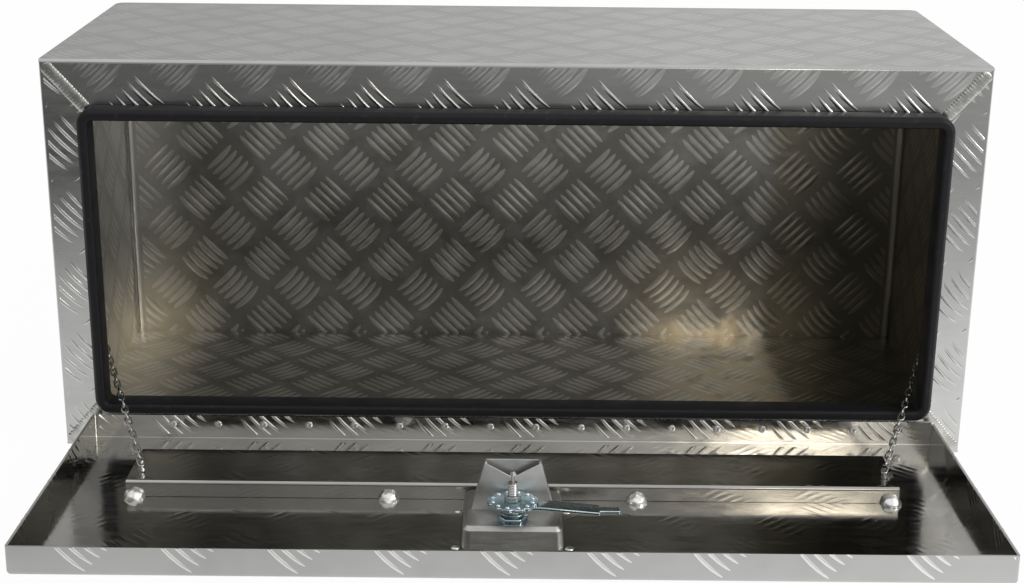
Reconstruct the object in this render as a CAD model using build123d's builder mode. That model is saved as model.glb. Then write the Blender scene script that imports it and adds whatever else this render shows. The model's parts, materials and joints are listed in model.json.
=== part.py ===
"""Underbody truck tool box in folded checker plate, with its drop-down door open on two chains.

Millimetres. +Z is up, -Y is the door side, +X is to the right when facing the door.
The origin is the middle of the box's bottom face. The door is modelled as it hangs,
a little above level, in a frame of its own: X along the hinge pin, -Y away from the
box, +Z out of the door's inner side.
"""

import os
from math import acos, cos, degrees, radians, sin, sqrt

from build123d import *

# Box shell
box_width = 915.0
box_depth = 350.0
box_height = 400.0
sheet = 2.5
front_bend = 4.0
back_bend = 10.0
stile_width = 42.25
top_rail_height = 47.75
bottom_rail_height = 49.25
lip_length = 18.0
lip_corner_relief = 12.0

# Mitre welds on the front frame
bead_width = 8.0
bead_height = 1.4
bead_end_gap = 5.0

# Continuous hinge
pin_radius = 1.5
knuckle_radius = 3.0
knuckle_clearance = 0.2
pin_clearance = 0.06
hinge_leaf = 1.0
hinge_pin_height = 37.6
hinge_end_gap = 39.5
hinge_leaf_height = 24.0
knuckle_count = 17
knuckle_gap = 0.4
knuckle_sides = 8
rivet_inset = 9.1
door_rivet_count = 18
rivet_end_margin = 26.0

# Pop rivets
rivet_radius = 2.0
rivet_head_radius = 4.0
rivet_head_height = 1.5
rivet_tail_radius = 3.0
rivet_tail_height = 1.6
rivet_head_sides = 8
rivet_sides = 6
rivet_taper = 38.0

# Door pan
door_tilt = 2.0
door_side_overlap = 11.75
door_top_overlap = 10.35
door_flange = 26.6
door_bend = 4.0
door_corner_bend = 3.0

# Seal round the opening
seal_width = 11.0
seal_door_gap = 0.5
seal_back_gap = 0.5
seal_outer_corner = 16.0
seal_inner_corner = 5.0
seal_slot_gap = 0.1
seal_outer_bevel = 3.4
seal_inner_bevel = 2.2

# Door stiffener, a channel laid open side down on the door's skin
stiffener_end_gap = 66.0
stiffener_hinge_share = 0.2338
stiffener_height = 16.0
stiffener_dish_gap = 21.5
stiffener_bend = 3.5
stiffener_lip_gap = 0.3
tack_radius = 6.5
tack_height = 8.0
tack_offset = 1.5
tack_sides = 10
tack_taper = 24.0
tack_end_gap = 7.5
tack_inner_x = 116.0

# Latch dish, pressed from sheet and riveted into the door's skin
dish_size = 91.0
dish_corner = 9.0
dish_sheet = 1.5
dish_depth = 22.1
dish_draft = 4.0
dish_edge = 3.5
dish_center_share = 0.6954
bezel_size = 112.0
bezel_corner = 8.0
dish_cut_gap = 0.3
bezel_rivet_x = 50.0
bezel_rivet_y = 40.0

# Latch guard, a folded hood behind the spindle with a notched front wall
guard_sheet = 2.0
guard_base_width = 74.0
guard_top_width = 50.0
guard_to_dish = 5.5
guard_depth = 11.0
guard_rise = 45.0
guard_notch_rise = 31.0

# Latch mechanism, rises are above the dish's inner face
latch_to_dish = 30.0
turned_sides = 24
barrel_radius = 7.5
barrel_flange_radius = 9.5
barrel_flange = 2.0
barrel_rise = 8.0
barrel_hole_gap = 0.1
nut_flats = 24.0
nut_height = 6.5
spindle_radius = 5.0
spindle_gap = 0.06
spindle_square = 8.0
square_gap = 0.1
washer_radius = 11.0
washer_height = 1.5
running_gap = 0.3
collar_radius = 7.5
collar_height = 4.2
tongue_thickness = 3.0
tongue_width = 18.0
tongue_tip_width = 10.0
tongue_reach = 94.0
tongue_shoulder = 76.0
tongue_level_reach = 26.0
tongue_drop = 4.4
tongue_tail = 13.0
disc_radius = 22.5
disc_thickness = 3.0
disc_lobes = 12
disc_notch_radius = 2.6
disc_notch_sides = 10
top_nut_flats = 13.0
top_nut_height = 5.0
spindle_top_radius = 4.0
spindle_top_rise = 37.0
screw_radius = 1.5
screw_neck = 7.0
screw_head_radius = 3.4
screw_head_height = 3.4
screw_sides = 12
screw_taper = 26.0
washer_sides = 16

# Folding L handle in the dish
thrust_head_radius = 9.0
thrust_head_height = 3.0
handle_pivot_drop = 13.5
tang_width = 8.0
tang_radius = 5.5
handle_pin_radius = 2.0
handle_pin_gap = 0.05
handle_sides = 16
ear_gap = 0.4
ear_width = 5.0
ear_radius = 6.0
fork_root_gap = 1.5
handle_reach = 27.0
handle_stem_thickness = 8.0
grip_long_end = 36.0
grip_short_end = 9.0
grip_radius = 5.0
grip_chamfer = 1.5
plug_radius = 5.0
plug_gap = 0.06
plug_boss_radius = 8.0
plug_boss_rise = 1.6
plug_length = 7.0
keyway_length = 5.6
keyway_width = 1.4
keyway_depth = 2.0

# Door chains: straight at rest, each in two runs that fold at their meeting point
wire = 2.0
link_width = 7.5
link_slack = 0.4
link_corner = 2.2
upper_links = 12
lower_links = 10
open_length = 4.5
chain_stud_inset = 9.0
chain_stud_share = 0.4
chain_rise = 4.5
chain_wall_gap = 15.0
chain_wall_share = 0.3077
chain_wall_z = 92.0
eye_radius = 4.4
eye_hole_radius = 2.4
eye_thickness = 1.5
eye_sides = 16
stud_radius = 1.3
stud_gap = 0.5
stud_flange_radius = 3.4
stud_head_radius = 2.6
stud_head_height = 1.4
stud_play = 2.0
stud_sides = 12

overrun = 5.0

front_y = -box_depth / 2
half_width = box_width / 2
opening_x = half_width - stile_width
opening_top = box_height - top_rail_height
opening_bottom = bottom_rail_height
hinge_length = box_width - 2 * hinge_end_gap
lip_outer_x = opening_x
lip_inner_x = opening_x - sheet

# The pin stands off the box's face by the knuckle and its clearance
pin_offset = knuckle_radius + knuckle_clearance
hinge_y = front_y - pin_offset
tilt = radians(door_tilt)
door_frame = Plane(
    origin=(0, hinge_y, hinge_pin_height),
    x_dir=(1, 0, 0),
    z_dir=(0, sin(tilt), cos(tilt)),
)
door_width = 2 * (opening_x + door_side_overlap)
door_length = opening_top + door_top_overlap - hinge_pin_height
dish_center_y = -dish_center_share * door_length
stiffener_front_y = dish_center_y + dish_size / 2 + stiffener_dish_gap
stiffener_back_y = -stiffener_hinge_share * door_length
stiffener_width = stiffener_back_y - stiffener_front_y
stiffener_length = door_width - 2 * stiffener_end_gap
guard_front_y = dish_center_y - guard_to_dish
latch_y = dish_center_y - latch_to_dish
flange_y = -pin_offset
skin_outer = -door_flange
skin_inner = skin_outer + sheet
stiffener_top = skin_inner + stiffener_height
dish_top = skin_outer + dish_depth + dish_sheet
bezel_xs = (-bezel_rivet_x, bezel_rivet_x)
bezel_ys = (-bezel_rivet_y, bezel_rivet_y)
seal_depth = pin_offset + door_flange - sheet - seal_door_gap - seal_back_gap
door_closed = 90.0 - door_tilt


def door_point(x, y, z):
    """A point of the door's frame, in the box's frame."""
    return door_frame.from_local_coords(Vector(x, y, z))


def door_axis(x, y, z):
    """A direction of the door's frame, in the box's frame."""
    return door_point(x, y, z) - door_frame.origin


os.makedirs("parts", exist_ok=True)


def save(node, name, frame=Plane.XY):
    """Label a finished piece drawn in frame and write it as one STEP file."""
    placed = frame.location * node.part
    placed.label = name
    export_step(placed, "parts/" + name + ".step")


# Places of the hinge's knuckles and rivets along the pin
knuckle_pitch = hinge_length / knuckle_count
rivet_pitch = (hinge_length - 2 * rivet_end_margin) / (door_rivet_count - 1)
rivet_xs = [-hinge_length / 2 + rivet_end_margin + i * rivet_pitch for i in range(door_rivet_count)]
box_rivet_xs = rivet_xs[::2]

# Side and back wrap: one sheet folded round the left, back and right, with the front stiles
wall_low = sheet
wall_high = box_height - sheet
with BuildPart() as side_back_wrap:
    with BuildSketch(Plane.XY.offset(wall_low)):
        with Locations((0, sheet / 2)):
            Rectangle(box_width, box_depth - sheet)
        fillet(vertices().group_by(Axis.Y)[-1], back_bend)
    extrude(amount=wall_high - wall_low)
    with BuildSketch(Plane.XY.offset(wall_low)):
        with Locations((0, -sheet / 2)):
            Rectangle(box_width - 2 * sheet, box_depth - sheet)
        fillet(vertices().group_by(Axis.Y)[-1], back_bend - sheet)
    extrude(amount=wall_high - wall_low, mode=Mode.SUBTRACT)
    with BuildSketch(Plane.XZ.offset(-front_y - sheet)):
        for side in (-1, 1):
            with BuildLine():
                Polyline(
                    (side * half_width, wall_low),
                    (side * (half_width - sheet * stile_width / bottom_rail_height), wall_low),
                    (side * opening_x, opening_bottom),
                    (side * opening_x, opening_top),
                    (side * (half_width - sheet * stile_width / top_rail_height), wall_high),
                    (side * half_width, wall_high),
                    close=True,
                )
            make_face()
    extrude(amount=sheet)
    front_corners = edges().filter_by(Axis.Z).filter_by_position(
        Axis.Y, front_y - sheet / 2, front_y + sheet / 2
    ).filter_by(lambda edge: abs(abs(edge.center().X) - half_width) < sheet / 2)
    fillet(front_corners, front_bend / 2)
    side_lip_height = opening_top - opening_bottom - 2 * lip_corner_relief
    with BuildSketch(Plane.XZ.offset(-front_y)):
        for side in (-1, 1):
            with Locations((side * (opening_x - sheet / 2), (opening_top + opening_bottom) / 2)):
                Rectangle(sheet, side_lip_height)
    extrude(amount=lip_length)
    with BuildSketch(Plane.XZ.offset(-front_y - sheet)):
        for side in (-1, 1):
            with Locations((side * (opening_x - sheet / 2), (opening_top + opening_bottom) / 2)):
                Rectangle(sheet, side_lip_height)
    extrude(amount=sheet)
save(side_back_wrap, "side_back_wrap")


def railed_panel(level, rail_edge, outward, rivet_places=()):
    """The top or bottom sheet with its front rail and lip.

    level is the sheet's outer face, rail_edge the rail's inner edge, outward 1 for the
    top and -1 for the bottom, rivet_places the X of each hinge rivet's hole.
    """
    with BuildPart() as panel:
        with BuildSketch(Plane.XY.offset(min(level, level - outward * sheet))):
            Rectangle(box_width, box_depth)
            fillet(vertices().group_by(Axis.Y)[-1], back_bend)
        extrude(amount=sheet)
        with BuildSketch(Plane.XZ.offset(-front_y - sheet)):
            with BuildLine():
                Polyline(
                    (-half_width, level),
                    (half_width, level),
                    (opening_x, rail_edge),
                    (-opening_x, rail_edge),
                    close=True,
                )
            make_face()
        extrude(amount=sheet)
        bend = edges().filter_by(Axis.X).group_by(Axis.Y)[0].sort_by(Axis.Z)
        fillet(bend[-1] if outward > 0 else bend[0], front_bend)
        with BuildSketch(Plane.XZ.offset(-front_y - sheet)):
            with Locations((0, rail_edge - outward * sheet / 2)):
                Rectangle(2 * (lip_inner_x - lip_corner_relief), sheet)
        extrude(amount=sheet + lip_length)
        if rivet_places:
            with BuildSketch(Plane.XZ.offset(-front_y - sheet)):
                with Locations(*[(x, hinge_pin_height - rivet_inset) for x in rivet_places]):
                    RegularPolygon(rivet_radius, rivet_sides)
            extrude(amount=sheet, mode=Mode.SUBTRACT)
    return panel


top_panel = railed_panel(box_height, opening_top, 1)
save(top_panel, "top_panel")
bottom_panel = railed_panel(0, opening_bottom, -1, box_rivet_xs)
save(bottom_panel, "bottom_panel")

# Mitre welds: a low bead along each corner joint of the front frame
with BuildPart() as mitre_welds:
    for side in (-1, 1):
        for outer_z, inner_z in ((0, opening_bottom), (box_height, opening_top)):
            outer_end = Vector(side * half_width, front_y, outer_z)
            inner_end = Vector(side * opening_x, front_y, inner_z)
            run = inner_end - outer_end
            start = outer_end + run.normalized() * bead_end_gap
            bead_plane = Plane(origin=start, x_dir=(0, -1, 0), z_dir=run)
            with BuildSketch(bead_plane):
                with BuildLine():
                    Line((0, -bead_width / 2), (0, bead_width / 2))
                    ThreePointArc((0, bead_width / 2), (bead_height, 0), (0, -bead_width / 2))
                make_face()
            extrude(amount=run.length - bead_end_gap)
save(mitre_welds, "mitre_welds")

# Door seal: a rubber channel pushed on the lip, with a rounded bulb in front
seal_center_x = opening_x - sheet / 2
seal_low = opening_bottom + sheet / 2
seal_high = opening_top - sheet / 2
seal_mid_z = (seal_low + seal_high) / 2
with BuildPart() as door_seal:
    with BuildSketch(Plane.XZ.offset(-front_y + seal_back_gap)):
        with Locations((0, seal_mid_z)):
            RectangleRounded(
                2 * seal_center_x + seal_width, seal_high - seal_low + seal_width, seal_outer_corner
            )
            RectangleRounded(
                2 * seal_center_x - seal_width,
                seal_high - seal_low - seal_width,
                seal_inner_corner,
                mode=Mode.SUBTRACT,
            )
    extrude(amount=seal_depth)
    seal_front = faces().sort_by(Axis.Y)[0]
    chamfer(seal_front.outer_wire().edges(), seal_outer_bevel)
    chamfer(faces().sort_by(Axis.Y)[0].inner_wires().edges(), seal_inner_bevel)
    slot_width = sheet + 2 * seal_slot_gap
    slot_wall = (seal_width - slot_width) / 2
    with BuildSketch(Plane.XZ.offset(-front_y + seal_back_gap)):
        with Locations((0, seal_mid_z)):
            RectangleRounded(
                2 * seal_center_x + slot_width,
                seal_high - seal_low + slot_width,
                seal_outer_corner - slot_wall,
            )
            RectangleRounded(
                2 * seal_center_x - slot_width,
                seal_high - seal_low - slot_width,
                seal_inner_corner + slot_wall,
                mode=Mode.SUBTRACT,
            )
    extrude(amount=lip_length, mode=Mode.SUBTRACT)
save(door_seal, "door_seal")

# Continuous hinge: two leaves with alternate knuckles on one pin
pin_plane = Plane(origin=(0, hinge_y, hinge_pin_height), x_dir=(0, 1, 0), z_dir=(1, 0, 0))
door_pin_plane = Plane(origin=(0, 0, 0), x_dir=(0, 1, 0), z_dir=(1, 0, 0))


def hinge_half(plane, first, rivet_places, leaf_side):
    """One hinge leaf with its knuckles; leaf_side 1 lies against the box, -1 against the door."""
    leaf_middle = leaf_side * (pin_offset - hinge_leaf / 2)
    with BuildPart() as half:
        for index in range(first, knuckle_count, 2):
            start = -hinge_length / 2 + index * knuckle_pitch + knuckle_gap / 2
            with BuildSketch(plane.offset(start)):
                RegularPolygon(knuckle_radius, knuckle_sides)
                with Locations((leaf_middle, -knuckle_radius / 2)):
                    Rectangle(hinge_leaf, knuckle_radius)
                RegularPolygon(
                    pin_radius + pin_clearance,
                    knuckle_sides,
                    major_radius=False,
                    mode=Mode.SUBTRACT,
                )
            extrude(amount=knuckle_pitch - knuckle_gap)
        with BuildSketch(plane.offset(-hinge_length / 2)):
            with Locations((leaf_middle, -(hinge_leaf_height + knuckle_radius) / 2)):
                Rectangle(hinge_leaf, hinge_leaf_height - knuckle_radius)
        extrude(amount=hinge_length)
        face = Plane(
            origin=plane.origin + plane.x_dir * leaf_side * (pin_offset - hinge_leaf),
            x_dir=(1, 0, 0),
            z_dir=plane.x_dir * leaf_side,
        )
        with BuildSketch(face):
            with Locations(*[(x, leaf_side * rivet_inset) for x in rivet_places]):
                RegularPolygon(rivet_radius, rivet_sides)
        extrude(amount=hinge_leaf, mode=Mode.SUBTRACT)
    return half


hinge_leaf_box = hinge_half(pin_plane, 0, box_rivet_xs, 1)
save(hinge_leaf_box, "hinge_leaf_box")
hinge_leaf_door = hinge_half(door_pin_plane, 1, rivet_xs, -1)
save(hinge_leaf_door, "hinge_leaf_door", door_frame)

with BuildPart() as hinge_pin:
    with BuildSketch(pin_plane.offset(-hinge_length / 2)):
        Circle(pin_radius)
    extrude(amount=hinge_length)
save(hinge_pin, "hinge_pin")


def rivet_row(head_plane, places, grip):
    """Pop rivets with a domed head on head_plane and a tail grip away, along the plane's -Z."""
    with BuildPart() as row:
        with BuildSketch(head_plane):
            with Locations(*places):
                RegularPolygon(rivet_head_radius, rivet_head_sides)
        extrude(amount=rivet_head_height, taper=rivet_taper)
        with BuildSketch(head_plane):
            with Locations(*places):
                RegularPolygon(rivet_radius, rivet_sides)
        extrude(amount=-grip)
        with BuildSketch(head_plane.offset(-grip)):
            with Locations(*places):
                RegularPolygon(rivet_tail_radius, rivet_sides)
        extrude(amount=-rivet_tail_height)
    return row


# Heads of the box's row face the door leaf; the door's row shows inside the pan
box_head_plane = Plane(
    origin=(0, front_y - hinge_leaf, hinge_pin_height), x_dir=(1, 0, 0), z_dir=(0, -1, 0)
)
hinge_rivets_box = rivet_row(box_head_plane, [(x, -rivet_inset) for x in box_rivet_xs], hinge_leaf + sheet)
save(hinge_rivets_box, "hinge_rivets_box")
door_head_plane = Plane(origin=(0, flange_y - sheet, 0), x_dir=(1, 0, 0), z_dir=(0, -1, 0))
hinge_rivets_door = rivet_row(
    door_head_plane, [(x, -rivet_inset) for x in rivet_xs], hinge_leaf + sheet
)
save(hinge_rivets_door, "hinge_rivets_door", door_frame)

# From here the pieces that hang with the door are drawn in the door's frame

# Door pan: the skin with a flange on all four sides
pan_length = door_length - pin_offset
pan_center_y = -(door_length + pin_offset) / 2
with BuildPart() as door_pan:
    with BuildSketch(Plane.XY.offset(skin_outer)):
        with Locations((0, pan_center_y)):
            RectangleRounded(door_width, pan_length, door_corner_bend)
    extrude(amount=door_flange)
    fillet(faces().sort_by(Axis.Z)[0].outer_wire().edges(), door_bend)
    with BuildSketch(Plane.XY.offset(skin_inner)):
        with Locations((0, pan_center_y)):
            RectangleRounded(
                door_width - 2 * sheet, pan_length - 2 * sheet, door_corner_bend - sheet
            )
    extrude(amount=door_flange, mode=Mode.SUBTRACT)
    with BuildSketch(Plane.XY.offset(skin_outer)):
        with Locations((0, dish_center_y)):
            RectangleRounded(
                dish_size + 2 * dish_cut_gap, dish_size + 2 * dish_cut_gap, dish_corner + dish_cut_gap
            )
        with Locations(*[(x, dish_center_y + y) for x in bezel_xs for y in bezel_ys]):
            RegularPolygon(rivet_radius, rivet_sides)
    extrude(amount=sheet, mode=Mode.SUBTRACT)
    with BuildSketch(Plane.XZ.offset(-flange_y)):
        with Locations(*[(x, -rivet_inset) for x in rivet_xs]):
            RegularPolygon(rivet_radius, rivet_sides)
    extrude(amount=sheet, mode=Mode.SUBTRACT)
save(door_pan, "door_pan", door_frame)

# Door stiffener: a channel laid open side down along the skin, with open ends
with BuildPart() as door_stiffener:
    with BuildSketch(Plane.YZ.offset(-stiffener_length / 2)):
        with Locations((stiffener_front_y + stiffener_width / 2, skin_inner + stiffener_height / 2)):
            Rectangle(stiffener_width, stiffener_height)
        fillet(vertices().group_by(Axis.Y)[-1], stiffener_bend)
    extrude(amount=stiffener_length)
    with BuildSketch(Plane.YZ.offset(-stiffener_length / 2)):
        with Locations(
            (stiffener_front_y + stiffener_width / 2, skin_inner + (stiffener_height - sheet) / 2)
        ):
            Rectangle(stiffener_width - 2 * sheet, stiffener_height - sheet)
        fillet(vertices().group_by(Axis.Y)[-1], stiffener_bend - sheet)
        with Locations((stiffener_front_y + sheet / 2, skin_inner + stiffener_lip_gap / 2)):
            Rectangle(sheet, stiffener_lip_gap)
    extrude(amount=stiffener_length, mode=Mode.SUBTRACT)
save(door_stiffener, "door_stiffener", door_frame)

# Tack welds: half domes where the channel's lips stand on the skin
with BuildPart() as stiffener_welds:
    for side in (-1, 1):
        lip_y = stiffener_front_y if side < 0 else stiffener_back_y
        tack_outer_x = stiffener_length / 2 - tack_end_gap
        tack_xs = (-tack_outer_x, -tack_inner_x, tack_inner_x, tack_outer_x)
        with BuildSketch(Plane.XY.offset(skin_inner)):
            with Locations(*[(x, lip_y + side * tack_offset) for x in tack_xs]):
                RegularPolygon(tack_radius, tack_sides)
        extrude(amount=tack_height, taper=tack_taper)
    with BuildSketch(Plane.XY.offset(skin_inner)):
        with Locations((0, stiffener_front_y + stiffener_width / 2)):
            Rectangle(stiffener_length + 2 * tack_radius, stiffener_width)
    extrude(amount=tack_height, mode=Mode.SUBTRACT)
save(stiffener_welds, "stiffener_welds", door_frame)

# Latch dish: a recess for the outside handle, seen from inside as a raised box
bezel_face = skin_outer - dish_sheet
with BuildPart() as dish_hollow:
    with BuildSketch(Plane.XY.offset(bezel_face)):
        with Locations((0, dish_center_y)):
            RectangleRounded(
                dish_size - 2 * dish_sheet, dish_size - 2 * dish_sheet, dish_corner - dish_sheet
            )
    extrude(amount=dish_top - dish_sheet - bezel_face, taper=dish_draft)
    chamfer(faces().sort_by(Axis.Z)[-1].outer_wire().edges(), dish_edge - dish_sheet)
with BuildPart() as latch_dish:
    with BuildSketch(Plane.XY.offset(bezel_face)):
        with Locations((0, dish_center_y)):
            RectangleRounded(dish_size, dish_size, dish_corner)
    extrude(amount=dish_top - bezel_face, taper=dish_draft)
    chamfer(faces().sort_by(Axis.Z)[-1].outer_wire().edges(), dish_edge)
    with BuildSketch(Plane.XY.offset(bezel_face)):
        with Locations((0, dish_center_y)):
            RectangleRounded(bezel_size, bezel_size, bezel_corner)
        with Locations(*[(x, dish_center_y + y) for x in bezel_xs for y in bezel_ys]):
            RegularPolygon(rivet_radius, rivet_sides, mode=Mode.SUBTRACT)
    extrude(amount=dish_sheet)
    add(dish_hollow.part, mode=Mode.SUBTRACT)
    with BuildSketch(Plane.XY.offset(dish_top - dish_sheet)):
        with Locations((0, latch_y)):
            RegularPolygon(barrel_radius + barrel_hole_gap, turned_sides)
    extrude(amount=dish_sheet, mode=Mode.SUBTRACT)
save(latch_dish, "latch_dish", door_frame)

latch_dish_rivets = rivet_row(
    Plane.XY.offset(skin_inner),
    [(x, dish_center_y + y) for x in bezel_xs for y in bezel_ys],
    sheet + dish_sheet,
)
save(latch_dish_rivets, "latch_dish_rivets", door_frame)

# Latch guard: four walls round a slot open at top and bottom, the front wall notched
guard_back_y = guard_front_y + guard_depth
with BuildPart() as latch_guard:
    with BuildSketch(Plane.XZ.offset(-guard_back_y)):
        with BuildLine():
            Polyline(
                (-guard_base_width / 2, dish_top),
                (guard_base_width / 2, dish_top),
                (guard_top_width / 2, dish_top + guard_rise),
                (-guard_top_width / 2, dish_top + guard_rise),
                close=True,
            )
        make_face()
    extrude(amount=guard_depth)
    offset(
        amount=-guard_sheet,
        openings=[faces().sort_by(Axis.Z)[0], faces().sort_by(Axis.Z)[-1]],
        kind=Kind.INTERSECTION,
    )
    with BuildSketch(Plane.XZ.offset(-guard_front_y - guard_sheet)):
        with BuildLine():
            Polyline(
                (0, dish_top + guard_notch_rise),
                (guard_top_width / 2, dish_top + guard_rise),
                (guard_top_width / 2, dish_top + guard_rise + overrun),
                (-guard_top_width / 2, dish_top + guard_rise + overrun),
                (-guard_top_width / 2, dish_top + guard_rise),
                close=True,
            )
        make_face()
    extrude(amount=guard_sheet, mode=Mode.SUBTRACT)
save(latch_guard, "latch_guard", door_frame)


def stacked(steps):
    """Discs stacked on the latch axis, each given as (radius, low, high)."""
    with BuildPart() as shape:
        for radius, low, high in steps:
            with BuildSketch(Plane.XY.offset(low)):
                with Locations((0, latch_y)):
                    RegularPolygon(radius, turned_sides)
            extrude(amount=high - low)
    return shape


dish_floor = dish_top - dish_sheet
barrel_low = dish_floor - barrel_flange
barrel_top = dish_top + barrel_rise
washer_low = barrel_top + running_gap
collar_low = washer_low + washer_height
tongue_low = collar_low + collar_height
disc_low = tongue_low + tongue_thickness
square_top = disc_low + disc_thickness
spindle_top = dish_top + spindle_top_rise
head_top = barrel_low - running_gap
head_low = head_top - thrust_head_height
pivot_z = dish_top - handle_pivot_drop

# Barrel in the dish's floor, clamped by a nut
with BuildPart() as latch_barrel:
    add(
        stacked(
            [
                (barrel_flange_radius, barrel_low, dish_floor),
                (barrel_radius, dish_floor, barrel_top),
            ]
        ).part
    )
    with BuildSketch(Plane.XY.offset(barrel_low)):
        with Locations((0, latch_y)):
            RegularPolygon(spindle_radius + spindle_gap, turned_sides, major_radius=False)
    extrude(amount=barrel_top - barrel_low, mode=Mode.SUBTRACT)
save(latch_barrel, "latch_barrel", door_frame)

with BuildPart() as barrel_nut:
    with BuildSketch(Plane.XY.offset(dish_top)):
        with Locations((0, latch_y)):
            RegularPolygon(nut_flats / 2, 6, major_radius=False)
            RegularPolygon(barrel_radius, turned_sides, mode=Mode.SUBTRACT)
    extrude(amount=nut_height)
save(barrel_nut, "barrel_nut", door_frame)

# Spindle: thrust head and tang below, then shaft, collar, square and stud
with BuildPart() as latch_spindle:
    add(
        stacked(
            [
                (thrust_head_radius, head_low, head_top),
                (collar_radius, collar_low, tongue_low),
                (spindle_top_radius, tongue_low, spindle_top),
            ]
        ).part
    )
    with BuildSketch(Plane.XY.offset(head_top)):
        with Locations((0, latch_y)):
            Circle(spindle_radius)
    extrude(amount=collar_low - head_top)
    with BuildSketch(Plane.XY.offset(tongue_low)):
        with Locations((0, latch_y)):
            Rectangle(spindle_square, spindle_square)
    extrude(amount=square_top - tongue_low)
    with BuildSketch(Plane.YZ.offset(-tang_width / 2)):
        with Locations((latch_y, (pivot_z + head_low) / 2)):
            Rectangle(2 * tang_radius, head_low - pivot_z)
        with Locations((latch_y, pivot_z)):
            RegularPolygon(tang_radius, handle_sides)
            RegularPolygon(
                handle_pin_radius + handle_pin_gap,
                handle_sides,
                major_radius=False,
                mode=Mode.SUBTRACT,
            )
    extrude(amount=tang_width)
save(latch_spindle, "latch_spindle", door_frame)

with BuildPart() as latch_washer:
    with BuildSketch(Plane.XY.offset(washer_low)):
        with Locations((0, latch_y)):
            RegularPolygon(washer_radius, washer_sides)
            RegularPolygon(spindle_radius, washer_sides, major_radius=False, mode=Mode.SUBTRACT)
    extrude(amount=washer_height)
save(latch_washer, "latch_washer", door_frame)

# Latch tongue: a flat bar that steps down towards a narrower tip
tip_low = tongue_low - tongue_drop
with BuildPart() as latch_tongue:
    with BuildSketch(Plane.XZ.offset(-latch_y - tongue_width / 2)):
        with BuildLine():
            Polyline(
                (-tongue_tail, tongue_low),
                (tongue_level_reach, tongue_low),
                (tongue_shoulder, tip_low),
                (tongue_reach, tip_low),
                (tongue_reach, tip_low + tongue_thickness),
                (tongue_shoulder, tip_low + tongue_thickness),
                (tongue_level_reach, tongue_low + tongue_thickness),
                (-tongue_tail, tongue_low + tongue_thickness),
                close=True,
            )
        make_face()
    extrude(amount=tongue_width)
    tail_ends = edges().filter_by(Axis.Z).group_by(Axis.X)[0]
    fillet(tail_ends, tongue_width / 3)
    step_y = (tongue_width + tongue_tip_width) / 4
    with BuildSketch(Plane.XY.offset(tip_low - overrun)):
        for side in (-1, 1):
            with Locations(((tongue_shoulder + tongue_reach) / 2, latch_y + side * step_y)):
                Rectangle(tongue_reach - tongue_shoulder, (tongue_width - tongue_tip_width) / 2)
    extrude(amount=2 * overrun + tongue_thickness, mode=Mode.SUBTRACT)
    with BuildSketch(Plane.XY.offset(tongue_low)):
        with Locations((0, latch_y)):
            Rectangle(spindle_square + 2 * square_gap, spindle_square + 2 * square_gap)
    extrude(amount=tongue_thickness, mode=Mode.SUBTRACT)
save(latch_tongue, "latch_tongue", door_frame)

# Cam disc with a scalloped rim
with BuildPart() as latch_cam_disc:
    with BuildSketch(Plane.XY.offset(disc_low)):
        with Locations((0, latch_y)):
            Circle(disc_radius)
            with PolarLocations(disc_radius + disc_notch_radius / 3, disc_lobes):
                RegularPolygon(disc_notch_radius, disc_notch_sides, mode=Mode.SUBTRACT)
            Rectangle(
                spindle_square + 2 * square_gap, spindle_square + 2 * square_gap, mode=Mode.SUBTRACT
            )
    extrude(amount=disc_thickness)
save(latch_cam_disc, "latch_cam_disc", door_frame)

with BuildPart() as spindle_nut:
    with BuildSketch(Plane.XY.offset(square_top)):
        with Locations((0, latch_y)):
            RegularPolygon(top_nut_flats / 2, 6, major_radius=False)
            RegularPolygon(spindle_top_radius, turned_sides, mode=Mode.SUBTRACT)
    extrude(amount=top_nut_height)
save(spindle_nut, "spindle_nut", door_frame)

with BuildPart() as spindle_screw:
    with BuildSketch(Plane.XY.offset(spindle_top)):
        with Locations((0, latch_y)):
            RegularPolygon(screw_radius, screw_sides)
    extrude(amount=screw_neck)
    with BuildSketch(Plane.XY.offset(spindle_top + screw_neck)):
        with Locations((0, latch_y)):
            RegularPolygon(screw_head_radius, screw_sides)
    extrude(amount=screw_head_height, taper=screw_taper)
save(spindle_screw, "spindle_screw", door_frame)

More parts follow.
